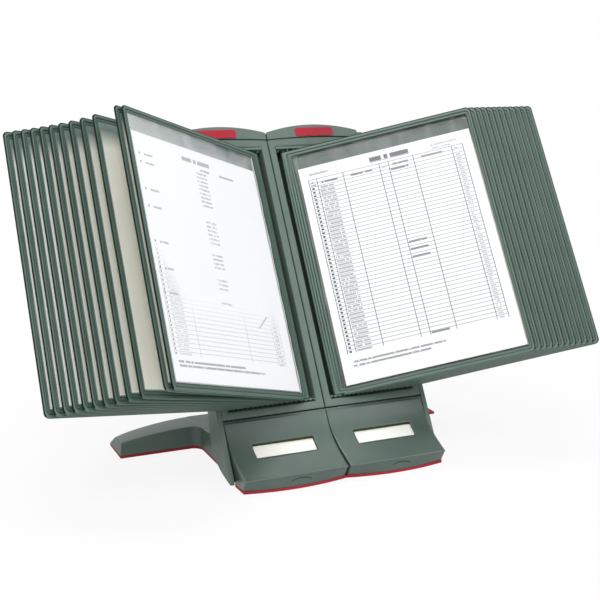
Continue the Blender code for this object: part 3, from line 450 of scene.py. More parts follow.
class NodeSketch:
    """Shorthand for laying out a procedural material."""

    def __init__(self, name: str) -> None:
        """Start a material with its shader and its output."""
        self.material = bpy.data.materials.new(name)
        self.material.use_nodes = True
        self.tree = self.material.node_tree
        self.shader = self.tree.nodes["Principled BSDF"]

    def node(self, kind: str, **values: object) -> bpy.types.Node:
        """Add a node and set its properties and unlinked inputs by name."""
        node = self.tree.nodes.new(kind)
        for key, value in values.items():
            if key in node.inputs:
                node.inputs[key].default_value = value
            else:
                setattr(node, key, value)
        return node

    def link(self, source: Socket, target: Socket) -> None:
        """Join two sockets."""
        self.tree.links.new(source, target)

    def put(self, socket: Socket, value: object) -> None:
        """Feed a socket from another socket or set it to a number."""
        if isinstance(value, Socket):
            self.link(value, socket)
        else:
            socket.default_value = value

    def feed(self, name: str, value: object) -> None:
        """Feed one of the shader's own inputs."""
        self.put(self.shader.inputs[name], value)

    def math(self, operation: str, *values: object, clamp: bool = False) -> Socket:
        """Do arithmetic on sockets and numbers."""
        node = self.node("ShaderNodeMath", operation=operation, use_clamp=clamp)
        for socket, value in zip(node.inputs, values):
            self.put(socket, value)
        return node.outputs["Value"]

    def product(self, *values: object) -> Socket:
        """Multiply two or more sockets and numbers."""
        return functools.reduce(functools.partial(self.math, "MULTIPLY"), values)

    def away(self, value: object, place: object) -> Socket:
        """Distance of a value from a place."""
        return self.math("ABSOLUTE", self.math("SUBTRACT", value, place))

    def object_point(self, stretch: Point = (1.0, 1.0, 1.0)) -> Socket:
        """Point on the piece in metres, scaled along each axis."""
        mapping = self.node("ShaderNodeMapping", Scale=stretch)
        self.link(self.node("ShaderNodeTexCoord").outputs["Object"], mapping.inputs["Vector"])
        return mapping.outputs["Vector"]

    def flat_pattern(self) -> tuple[Socket, Socket, Socket]:
        """The piece's own flat pattern, whole and as its two numbers."""
        flat = self.node("ShaderNodeUVMap", uv_map="flat").outputs["UV"]
        split = self.node("ShaderNodeSeparateXYZ")
        self.link(flat, split.inputs["Vector"])
        return flat, split.outputs["X"], split.outputs["Y"]

    def noise(self, point: Socket, scale: float, detail: float = 2.0) -> Socket:
        """Smooth noise at a scale in cycles per unit of the point."""
        node = self.node("ShaderNodeTexNoise", Scale=scale, Detail=detail)
        self.link(point, node.inputs["Vector"])
        return node.outputs["Fac"]

    def grain(
        self, per_metre: float, detail: float = 2.0, stretch: Point = (1.0, 1.0, 1.0)
    ) -> Socket:
        """Smooth noise over the piece, stretched along its axes."""
        return self.noise(self.object_point(stretch), per_metre, detail)

    def blend(self, share: object, first: object, second: object) -> Socket:
        """Mix two colours by a share."""
        node = self.node("ShaderNodeMix", data_type="RGBA")
        self.put(node.inputs["Factor"], share)
        for socket, value in ((node.inputs[6], first), (node.inputs[7], second)):
            self.put(socket, (*value, 1.0) if isinstance(value, tuple) else value)
        return node.outputs[2]

    def tinted(self, share: Socket, colour: Colour, low: float, high: float) -> Socket:
        """Colour whose brightness goes from low to high with a share."""
        return self.blend(share, shaded(colour, low), shaded(colour, high))

    def span(
        self, value: object, low: float, high: float, to_low: float = 0.0, to_high: float = 1.0
    ) -> Socket:
        """Rescale a value from one range to another, held at the ends."""
        node = self.node("ShaderNodeMapRange")
        names = ("From Min", "From Max", "To Min", "To Max")
        for name, end in zip(names, (low, high, to_low, to_high)):
            node.inputs[name].default_value = end
        self.put(node.inputs["Value"], value)
        return node.outputs["Result"]

    def bump(self, height: Socket, distance: float) -> None:
        """Raise the surface by a height pattern, in metres."""
        node = self.node("ShaderNodeBump", Distance=distance, Strength=1.0)
        self.link(height, node.inputs["Height"])
        self.link(node.outputs["Normal"], self.shader.inputs["Normal"])

    def skin(self, pattern: Socket, roughness: float, spread: float, depth: float = 0.0) -> None:
        """Let the roughness follow a fine pattern, and the relief where a depth is given."""
        ends = (roughness - spread, roughness + spread)
        self.feed("Roughness", self.span(pattern, *NOISE_RANGE, *ends))
        if depth:
            self.bump(pattern, depth)


def shaded(colour: Colour, share: float) -> Colour:
    """Scale a colour's brightness."""
    return tuple(share * c for c in colour)


@dataclass(frozen=True)
class MouldedPlastic:
    """Matt moulded plastic: a fine spark-eroded grain, faint flow mottling and, where asked, a
    painted highlight along an edge.
    """

    name: str
    colour: Colour
    roughness: float = 0.46
    specular: float = 0.36
    roughness_spread: float = 0.05
    grain_per_metre: float = 2600.0
    grain_depth: float = 0.00003
    mottle_per_metre: float = 28.0
    mottle_share: float = 0.08
    stretch: Point = (1.0, 1.0, 1.0)
    edge_wear: float = 0.0

    def make(self) -> bpy.types.Material:
        """Lay out the nodes; the flat pattern's first number says where a painted highlight
        lightens an edge.
        """
        sketch = NodeSketch(self.name)
        mottle = sketch.grain(self.mottle_per_metre, 4.0, self.stretch)
        share = sketch.span(mottle, *NOISE_RANGE)
        tint = sketch.tinted(share, self.colour, 1 - self.mottle_share, 1 + self.mottle_share)
        # Painted highlight: the colour is lightened where the flat pattern's first number is high.
        if self.edge_wear:
            _, painted_highlight, _ = sketch.flat_pattern()
            tint = sketch.blend(painted_highlight, tint, shaded(self.colour, 1 + self.edge_wear))
        sketch.feed("Base Color", tint)
        sketch.feed("Specular IOR Level", self.specular)
        grain = sketch.grain(self.grain_per_metre, 3.0)
        sketch.skin(grain, self.roughness, self.roughness_spread, self.grain_depth)
        return sketch.material


@dataclass(frozen=True)
class RimPlastic:
    """Moulded plastic of the panel frames, with painted shade in its grooves and at its edges and
    a painted highlight on its bead and ribs.

    The flat pattern's first number is the share of the way from the window to the outer
    edge, and its second is 1 on the ribbed spine. A tone is a place and a brightness there.
    """

    name: str
    colour: Colour
    # Painted shade at the window's step, in the groove and at the outer edge; painted highlight
    # along the bead.
    rim_tones: Pairs = (
        (0.0, 0.42), (0.06, 0.50), (0.12, 0.95), (0.33, 1.0), (0.37, 0.45), (0.43, 0.55),
        (0.52, 1.12), (0.78, 1.20), (0.84, 0.75), (0.88, 0.10), (1.0, 0.16),
    )
    # Painted shade in the grooves between the spine's ribs and at its ends; painted highlight on
    # the ribs.
    spine_tones: Pairs = (
        (0.0, 0.35), (0.06, 0.9), (0.21, 1.1), (0.235, 0.22), (0.27, 0.22), (0.30, 1.0),
        (0.46, 1.2), (0.485, 0.25), (0.515, 0.25), (0.54, 0.85), (0.71, 1.25), (0.735, 0.25),
        (0.765, 0.25), (0.79, 1.1), (0.93, 0.9), (0.96, 0.22), (0.985, 0.20), (1.0, 0.55),
    )
    tone_scale: float = 0.5
    roughness: float = 0.38
    roughness_spread: float = 0.05
    specular: float = 0.40
    mottle_share: float = 0.06
    mottle_per_metre: float = 30.0
    grain_per_metre: float = 2600.0
    grain_depth: float = 0.00002

    def toned(
        self, sketch: NodeSketch, share: object, tones: Pairs
    ) -> Socket:
        """Brightness at a share, from a ramp through the tones: painted light and shade."""
        node = sketch.node("ShaderNodeValToRGB")
        stops = node.color_ramp.elements
        stops[0].position, stops[1].position = tones[0][0], tones[-1][0]
        for place, _ in tones[1:-1]:
            stops.new(place)
        for stop, (_, tone) in zip(stops, tones):
            stop.color = (*[tone * self.tone_scale] * 3, 1)
        sketch.put(node.inputs["Fac"], share)
        return sketch.math("DIVIDE", node.outputs["Color"], self.tone_scale)

    def make(self) -> bpy.types.Material:
        """Lay out the nodes."""
        sketch = NodeSketch(self.name)
        _, share, spine = sketch.flat_pattern()
        rim = self.toned(sketch, share, self.rim_tones)
        ribs = self.toned(sketch, share, self.spine_tones)
        more = sketch.product(sketch.math("SUBTRACT", ribs, rim), spine)
        mottle = sketch.grain(self.mottle_per_metre, 4.0)
        patches = sketch.span(mottle, *NOISE_RANGE, 1 - self.mottle_share, 1 + self.mottle_share)
        tone = sketch.product(sketch.math("ADD", rim, more), patches)
        node = sketch.node("ShaderNodeVectorMath", operation="SCALE")
        node.inputs[0].default_value = self.colour
        sketch.put(node.inputs["Scale"], tone)
        sketch.feed("Base Color", node.outputs["Vector"])
        # The gloss follows the painted shading, so it is weaker where shade is painted.
        gloss = sketch.math("MINIMUM", sketch.product(tone, self.specular), self.specular)
        sketch.feed("Specular IOR Level", gloss)
        grain = sketch.grain(self.grain_per_metre, 3.0)
        sketch.skin(grain, self.roughness, self.roughness_spread, self.grain_depth)
        return sketch.material


@dataclass(frozen=True)
class MouldedRubber:
    """Coloured rubber with a coarse matt skin and dusty patches."""

    name: str = "red_rubber_sole"
    colour: Colour = (0.41, 0.009, 0.020)
    dust_shade: float = 0.8
    dust_range: tuple[float, float] = (0.35, 0.75)
    dust_per_metre: float = 60.0
    roughness: float = 0.62
    roughness_spread: float = 0.08
    pebble_per_metre: float = 1400.0
    pebble_depth: float = 0.00008

    def make(self) -> bpy.types.Material:
        """Lay out the nodes."""
        sketch = NodeSketch(self.name)
        dust = sketch.span(sketch.grain(self.dust_per_metre, 5.0), *self.dust_range)
        sketch.feed("Base Color", sketch.tinted(dust, self.colour, 1.0, self.dust_shade))
        pebble = sketch.grain(self.pebble_per_metre)
        sketch.skin(pebble, self.roughness, self.roughness_spread, self.pebble_depth)
        return sketch.material


@dataclass(frozen=True)
class ClearSleeve:
    """Clear film: nearly see-through over the sheet, with milky streaks on its bare margin and
    painted glare, film whitened to stand for reflections.

    The flat pattern runs from 0 to 1 over the sheet, so what lies outside is the margin.
    """

    name: str
    veil: float
    streak: float
    side_glare: float = 0.0
    edge_glare: float = 0.0
    colour: Colour = (0.84, 0.88, 0.87)
    shade: float = 0.8
    haze: float = 0.012
    streaks_per_metre: float = 60.0
    streak_stretch: Point = (1.0, 0.35, 0.22)
    streak_range: tuple[float, float] = (0.40, 0.70)
    glare_range: tuple[float, float] = (-0.03, 0.80)
    buckles_per_metre: float = 38.0
    buckle_stretch: Point = (1.0, 1.0, 0.45)
    buckle_depth: float = 0.0008
    glare_edge_place: float = 1.009
    glare_edge_wander: float = 0.008
    glare_edge_half: float = 0.0028
    scallops_per_metre: float = 34.0
    roughness: float = 0.16

    def make(self) -> bpy.types.Material:
        """Lay out the nodes."""
        sketch = NodeSketch(self.name)
        _, u, v = sketch.flat_pattern()
        outside = sketch.math("MAXIMUM", *(
            sketch.math("GREATER_THAN", sketch.away(w, 0.5), 0.5) for w in (u, v)
        ))
        streak = sketch.grain(self.streaks_per_metre, 3.0, self.streak_stretch)
        streak = sketch.span(streak, *self.streak_range, 0.0, self.streak)
        # Painted reflection: the film is whitened towards one side and along a scalloped line.
        glare = sketch.span(u, *self.glare_range, self.side_glare, 0.0)
        haze_and_glare = sketch.math("ADD", sketch.math("ADD", streak, glare), self.veil, clamp=True)
        if self.edge_glare:
            haze_and_glare = sketch.math("MAXIMUM", haze_and_glare, self.crease(sketch, u))
        sketch.feed("Alpha", sketch.math("MAXIMUM", sketch.product(haze_and_glare, outside), self.haze))
        buckle = sketch.grain(self.buckles_per_metre, stretch=self.buckle_stretch)
        sketch.feed("Base Color", sketch.tinted(buckle, self.colour, self.shade, 1.0))
        sketch.feed("Roughness", self.roughness)
        sketch.bump(buckle, self.buckle_depth)
        return sketch.material

    def crease(self, sketch: NodeSketch, u: object) -> Socket:
        """Painted reflection: a bright scalloped line that wanders along the spine's side of the
        film.
        """
        wander = sketch.grain(self.scallops_per_metre, 1.0, (0.0, 0.0, 1.0))
        low = self.glare_edge_place - self.glare_edge_wander
        high = self.glare_edge_place + self.glare_edge_wander
        place = sketch.span(wander, *NOISE_RANGE, low, high)
        return sketch.product(
            sketch.math("COMPARE", u, place, self.glare_edge_half), self.edge_glare
        )


@dataclass(frozen=True)
class SleevedPaper:
    """Paper seen through its sleeve, with the bare film above and beside it.

    The flat pattern runs from 0 to 1 over the sheet, so what lies outside is film. The glow is
    painted light: an emission that stands in for the light that comes through the thin paper
    from its other side.
    """

    name: str
    paper: Colour
    film: Colour = (0.15, 0.20, 0.19)
    film_shades: tuple[float, float] = (0.85, 1.3)
    haze_range: tuple[float, float] = (0.35, 0.70)
    haze_per_metre: float = 30.0
    paper_top: float = 1.035
    fade_from: float = 0.96
    fade_to: float = 1.035
    fade_share: float = 0.92
    glow: float = 0.0
    specular: float = 0.3
    roughness: float = 0.30
    roughness_spread: float = 0.04
    fibre_per_metre: float = 900.0
    buckles_per_metre: float = 45.0
    buckle_depth: float = 0.0006

    def make(self) -> bpy.types.Material:
        """Lay out the nodes."""
        sketch = NodeSketch(self.name)
        _, u, v = sketch.flat_pattern()
        inside = sketch.product(*(
            sketch.math("LESS_THAN", sketch.away(w, half), half)
            for w, half in ((u, 0.5), (v, self.paper_top / 2))
        ))
        fibre = sketch.grain(self.fibre_per_metre, 3.0)
        fade = sketch.span(v, self.fade_from, self.fade_to, 0.0, self.fade_share)
        paper = sketch.blend(fade, sketch.tinted(fibre, self.paper, 0.97, 1.03), self.film)
        haze = sketch.span(sketch.grain(self.haze_per_metre), *self.haze_range)
        tint = sketch.blend(inside, sketch.tinted(haze, self.film, *self.film_shades), paper)
        sketch.feed("Base Color", tint)
        # Painted light: the paper glows faintly in its own colour.
        sketch.feed("Emission Color", tint)
        sketch.feed("Emission Strength", self.glow)
        sketch.feed("Specular IOR Level", self.specular)
        buckle = sketch.grain(self.buckles_per_metre)
        sketch.skin(fibre, self.roughness, self.roughness_spread)
        sketch.bump(buckle, self.buckle_depth)
        return sketch.material


@dataclass(frozen=True)
class PrintBlock:
    """Greyed lines of words between two shares of the sheet's width."""

    low: float
    high: float
    lines: tuple[float, ...]
    height: float = 0.0085
    tone: float = 0.75
    gap_share: float = 0.14


@dataclass(frozen=True)
class PrintedSheet:
    """White office paper with a ruled table whose words are only grey dashes.

    All places are shares of the sheet's width and height, from its lower left corner.
    """

    name: str
    rules: tuple[float, ...]
    blocks: tuple[PrintBlock, ...]
    mark_column: tuple[float, float] = (0.056, 0.070)
    code_column: tuple[float, float] = (0.100, 0.184)
    tail_column: tuple[float, float] = (0.893, 0.920)
    table_tones: tuple[float, float, float] = (1.0, 0.66, 0.48)
    table_top: float = 0.939
    table_bottom: float = 0.131
    rows: float = 46.0
    head_rows: float = 2.0
    rule_width: float = 0.0034
    row_rule_share: float = 0.15
    line_low_share: float = 0.34
    line_high_share: float = 0.82
    upright_tone: float = 1.0
    level_tone: float = 0.65
    code_gap_share: float = 0.10
    ink: Colour = (0.035, 0.038, 0.050)
    paper: Colour = (0.87, 0.875, 0.885)
    faint_above: float = 2.0
    faint_rise: float = 0.0
    faint_share: float = 1.0
    faint_ease: tuple[float, float] = (-0.10, 0.02)
    faint_rise_range: tuple[float, float] = (0.03, 0.20)
    letters: float = 170.0
    word_rows: float = 110.0
    smudge_scale: float = 380.0
    smudge_range: tuple[float, float] = (0.38, 0.60)
    smudge_low: float = 0.62
    tick: Bounds | None = None
    tick_half: float = 0.07
    tick_tone: float = 0.5
    roughness: float = 0.79
    roughness_spread: float = 0.07
    fibre_per_metre: float = 900.0
    fibre_depth: float = 0.00002

    def stripes(
        self, sketch: NodeSketch, value: object, spans: Pairs
    ) -> Socket:
        """One where the value lies within half a span of any span's middle, else nought."""
        marked: object = 0.0
        for low, high in spans:
            within = sketch.math("COMPARE", value, (low + high) / 2, (high - low) / 2)
            marked = sketch.math("MAXIMUM", marked, within)
        return marked

    def wording(
        self, sketch: NodeSketch, flat: object, u: object, line: object, gap: float
    ) -> Socket:
        """Uneven grey of words: letter cells with gaps, times fine smudges."""
        cell = sketch.node("ShaderNodeCombineXYZ")
        sketch.link(sketch.math("FLOOR", sketch.product(u, self.letters)), cell.inputs["X"])
        sketch.link(sketch.math("FLOOR", line), cell.inputs["Y"])
        letter = sketch.node("ShaderNodeTexWhiteNoise")
        sketch.link(cell.outputs["Vector"], letter.inputs["Vector"])
        kept = sketch.math("GREATER_THAN", letter.outputs["Value"], gap)
        smudge = sketch.noise(flat, self.smudge_scale, 1.0)
        return sketch.product(kept, sketch.span(smudge, *self.smudge_range, self.smudge_low, 1.0))

    def table(self, sketch: NodeSketch, flat: object, u: object, v: object) -> Socket:
        """Rules, marks and codes of the table, as an amount of ink."""
        height = self.table_top - self.table_bottom
        in_table = self.stripes(sketch, v, [(self.table_bottom, self.table_top)])
        in_width = self.stripes(sketch, u, [(self.rules[0], self.rules[-1] + self.rule_width)])
        row = sketch.product(sketch.math("SUBTRACT", self.table_top, v), self.rows / height)
        place = sketch.math("FRACT", row)
        upright = self.stripes(sketch, u, [(x, x + self.rule_width) for x in self.rules])
        on_rule = sketch.math("LESS_THAN", place, self.row_rule_share)
        level = sketch.product(on_rule, in_width, self.level_tone)
        amount = sketch.math("MAXIMUM", sketch.product(upright, self.upright_tone), level)
        words = self.wording(sketch, flat, u, row, self.code_gap_share)
        in_line = sketch.product(
            sketch.math("GREATER_THAN", place, self.line_low_share),
            sketch.math("LESS_THAN", place, self.line_high_share),
        )
        below_head = sketch.math("GREATER_THAN", row, self.head_rows)
        columns = (self.mark_column, self.code_column, self.tail_column)
        for column, tone in zip(columns, self.table_tones):
            ink = sketch.product(self.stripes(sketch, u, [column]), tone)
            if column is not self.mark_column:
                ink = sketch.product(ink, words)
            amount = sketch.math("MAXIMUM", amount, sketch.product(ink, in_line, below_head))
        return sketch.product(amount, in_table)

    def make(self) -> bpy.types.Material:
        """Lay out the nodes."""
        sketch = NodeSketch(self.name)
        flat, u, v = sketch.flat_pattern()
        amount = self.table(sketch, flat, u, v)
        rise = sketch.span(u, *self.faint_rise_range, self.faint_rise, 0.0)
        above = sketch.math("SUBTRACT", v, sketch.math("ADD", rise, self.faint_above))
        amount = sketch.product(
            amount, sketch.span(above, *self.faint_ease, 1.0, self.faint_share)
        )
        line = sketch.product(v, self.word_rows)
        for block in self.blocks:
            bands = self.stripes(sketch, v, [(y, y + block.height) for y in block.lines])
            span = self.stripes(sketch, u, [(block.low, block.high)])
            words = self.wording(sketch, flat, u, line, block.gap_share)
            amount = sketch.math("MAXIMUM", amount, sketch.product(bands, span, block.tone, words))
        if self.tick:
            amount = sketch.math("MAXIMUM", amount, self.tick_mark(sketch, u, v))
        fibre = sketch.grain(self.fibre_per_metre, 3.0)
        paper = sketch.tinted(fibre, self.paper, 0.985, 1.01)
        sketch.feed("Base Color", sketch.blend(amount, paper, self.ink))
        sketch.skin(fibre, self.roughness, self.roughness_spread, self.fibre_depth)
        return sketch.material

    def tick_mark(self, sketch: NodeSketch, u: object, v: object) -> Socket:
        """Slanted pen stroke from one corner of its box to the other."""
        u0, v0, u1, v1 = self.tick
        along = sketch.math("DIVIDE", sketch.math("SUBTRACT", v, v0), v1 - v0)
        across = sketch.math("DIVIDE", sketch.math("SUBTRACT", u, u0), u1 - u0)
        near = sketch.math("LESS_THAN", sketch.away(along, across), self.tick_half)
        inside = sketch.math("LESS_THAN", sketch.away(along, 0.5), 0.5)
        return sketch.product(near, inside, self.tick_tone)


@dataclass(frozen=True)
class PlainCard:
    """Cream label card, faintly fibrous, with a yellow-green cast."""

    name: str = "cream_label_card"
    colour: Colour = (0.92, 0.915, 0.85)
    roughness: float = 0.675
    roughness_spread: float = 0.075
    fibre_per_metre: float = 700.0
    fibre_depth: float = 0.00002

    def make(self) -> bpy.types.Material:
        """Lay out the nodes."""
        sketch = NodeSketch(self.name)
        fibre = sketch.grain(self.fibre_per_metre, 4.0)
        sketch.feed("Base Color", sketch.tinted(fibre, self.colour, 0.97, 1.03))
        sketch.skin(fibre, self.roughness, self.roughness_spread, self.fibre_depth)
        return sketch.material


@dataclass(frozen=True)
class BrushedSteel:
    """Bare steel of rods, plates and screws, with fine drawing lines."""

    name: str = "drawn_steel"
    colour: Colour = (0.58, 0.59, 0.60)
    roughness: float = 0.31
    roughness_spread: float = 0.09
    lines_per_metre: float = 3000.0
    line_stretch: Point = (0.04, 1.0, 1.0)
    line_depth: float = 0.00001

    def make(self) -> bpy.types.Material:
        """Lay out the nodes."""
        sketch = NodeSketch(self.name)
        lines = sketch.grain(self.lines_per_metre, stretch=self.line_stretch)
        sketch.feed("Base Color", sketch.tinted(lines, self.colour, 0.9, 1.08))
        sketch.feed("Metallic", 1.0)
        sketch.skin(lines, self.roughness, self.roughness_spread, self.line_depth)
        return sketch.material


GREY_GREEN = (0.114, 0.158, 0.137)
PANEL_GREEN = (0.070, 0.118, 0.095)


class Palette:
    """All finishes of the stand, made once."""

    def __init__(self) -> None:
        """Make the materials."""
        self.body = MouldedPlastic("grey_green_body", GREY_GREEN, 0.46).make()
        # The cover's lip gets a painted highlight.
        self.cover = MouldedPlastic(
            "grey_green_cover", (0.071, 0.106, 0.090), 0.34, specular=0.6, mottle_share=0.07,
            edge_wear=0.7,
        ).make()
        self.cheek = MouldedPlastic(
            "grey_green_cheek", GREY_GREEN, 0.48, mottle_share=0.16, mottle_per_metre=34.0,
            stretch=(1.0, 1.0, 0.10),
        ).make()
        self.panel = RimPlastic("panel_green", PANEL_GREEN).make()
        self.comb = MouldedPlastic("green_comb", (0.105, 0.165, 0.140), 0.5).make()
        # Darker than the body: painted shade of the recess seen through the rack's opening.
        self.back = MouldedPlastic("dark_back", (0.026, 0.048, 0.041), 0.55).make()
        # Painted shade: the near-black one is the strip for the shade between the comb's teeth,
        # the dark olive one the band on the label window's walls.
        self.lining, self.window_lining = (
            MouldedPlastic(name, colour, 0.6, specular=0.1).make() for name, colour in (
                ("dark_olive_lining", (0.008, 0.012, 0.006)),
                ("olive_lining", (0.034, 0.046, 0.010)),
            )
        )
        red = (0.37, 0.012, 0.028)
        self.badge = MouldedPlastic("red_badge", red, 0.35, mottle_share=0.05).make()
        self.rubber = MouldedRubber().make()
        self.film = {
            Side.RIGHT: ClearSleeve("clear_sleeve", 0.0, 0.05).make(),
            Side.LEFT: ClearSleeve(
                "glaring_sleeve", 0.05, 0.10, side_glare=0.22, edge_glare=0.75
            ).make(),
        }
        self.card = PlainCard().make()
        self.steel = BrushedSteel().make()
        # The glow is painted light, a faint emission of the paper's colour.
        self.beige_insert = {
            Side.LEFT: SleevedPaper(
                "sleeved_beige_paper", (0.70, 0.70, 0.62), glow=0.05
            ).make(),
            Side.RIGHT: SleevedPaper(
                "shaded_beige_paper", (0.66, 0.66, 0.57), film=(0.055, 0.085, 0.070),
                paper_top=1.0, fade_from=0.90, fade_to=1.0,
            ).make(),
        }
        self.white_insert = SleevedPaper(
            "sleeved_white_paper", (0.84, 0.84, 0.80), glow=0.06
        ).make()
        self.right_print = ruled_sheet().make()
        self.left_print = faded_sheet().make()


def print_blocks(rows: Sequence[tuple]) -> tuple[PrintBlock, ...]:
    """Make a block from each row of its values."""
    return tuple(PrintBlock(*row) for row in rows)


def ruled_sheet() -> PrintedSheet:
    """Crisp table of the right sheet."""
    blocks = print_blocks((
        (0.410, 0.478, (0.955,), 0.020, 1.0, 0.0),
        (0.494, 0.516, (0.955,), 0.020, 1.0, 0.0),
        (0.530, 0.637, (0.955,), 0.020, 1.0, 0.0),
        (0.410, 0.637, (0.951,), 0.0022, 1.0, 0.0),
        (0.056, 0.165, (0.958,), 0.0085, 0.62),
        (0.763, 0.917, (0.960,), 0.0085, 0.45),
        (0.770, 0.880, (0.944,), 0.0085, 0.40),
        (0.054, 0.084, (0.921, 0.905), 0.0085, 0.70),
        (0.117, 0.210, (0.912,), 0.0095, 0.95, 0.05),
        (0.282, 0.414, (0.912,), 0.0095, 0.95, 0.05),
        (0.469, 0.495, (0.914,), 0.0085, 0.40),
        (0.534, 0.623, (0.916,), 0.0095, 0.85, 0.05),
        (0.701, 0.824, (0.918,), 0.0095, 0.80, 0.05),
        (0.890, 0.912, (0.922,), 0.0085, 0.40),
        (0.516, 0.618, (0.893, 0.548, 0.514, 0.479, 0.136), 0.0095, 0.90, 0.05),
        (0.063, 0.583, (0.089,), 0.0085, 0.80, 0.10),
        (0.063, 0.495, (0.071,), 0.0085, 0.80, 0.10),
    ))
    rules = (0.0436, 0.0907, 0.2448, 0.4558, 0.5088, 0.6541, 0.8780, 0.9417)
    return PrintedSheet("ruled_sheet", rules, blocks)


def faded_sheet() -> PrintedSheet:
    """Washed-out table of the left sheet, under a glare on its sleeve."""
    marks = (0.904, 0.868, 0.755, 0.684, 0.542, 0.436, 0.339)
    first = tuple(0.894 - 0.0178 * k for k in range(9))
    second = tuple(0.678 - 0.0178 * k for k in range(6))
    third = (0.537, 0.519, 0.501, 0.484, 0.430, 0.412, 0.394, 0.333)
    blocks = print_blocks((
        (0.366, 0.440, (0.938,), 0.018, 0.62, 0.0),
        (0.456, 0.478, (0.938,), 0.018, 0.62, 0.0),
        (0.490, 0.588, (0.938,), 0.018, 0.62, 0.0),
        (0.030, 0.040, marks, 0.0085, 0.85, 0.0),
        (0.068, 0.132, marks, 0.0085, 0.55),
        (0.505, 0.579, (0.912,), 0.0085, 0.62, 0.05),
        (0.662, 0.785, (0.912,), 0.0085, 0.66, 0.05),
        (0.466, 0.549, first, 0.0085, 0.55, 0.20),
        (0.466, 0.549, second, 0.0085, 0.48, 0.22),
        (0.466, 0.549, third, 0.0085, 0.48, 0.22),
        (0.044, 0.556, (0.073,), 0.0085, 0.70, 0.10),
        (0.044, 0.716, (0.057,), 0.0085, 0.70, 0.10),
    ))
    rules = (0.0240, 0.0660, 0.2170, 0.6260, 0.8530, 0.9220)
    return PrintedSheet(
        "faded_sheet",
        rules,
        blocks,
        mark_column=(0.032, 0.042),
        code_column=(0.072, 0.150),
        tail_column=(0.866, 0.905),
        table_tones=(0.70, 0.30, 0.45),
        table_top=0.915,
        table_bottom=0.100,
        upright_tone=0.42,
        level_tone=0.36,
        faint_above=0.33,
        faint_rise=0.22,
        faint_share=0.05,
        tick=(0.745, 0.255, 0.834, 0.311),
    )


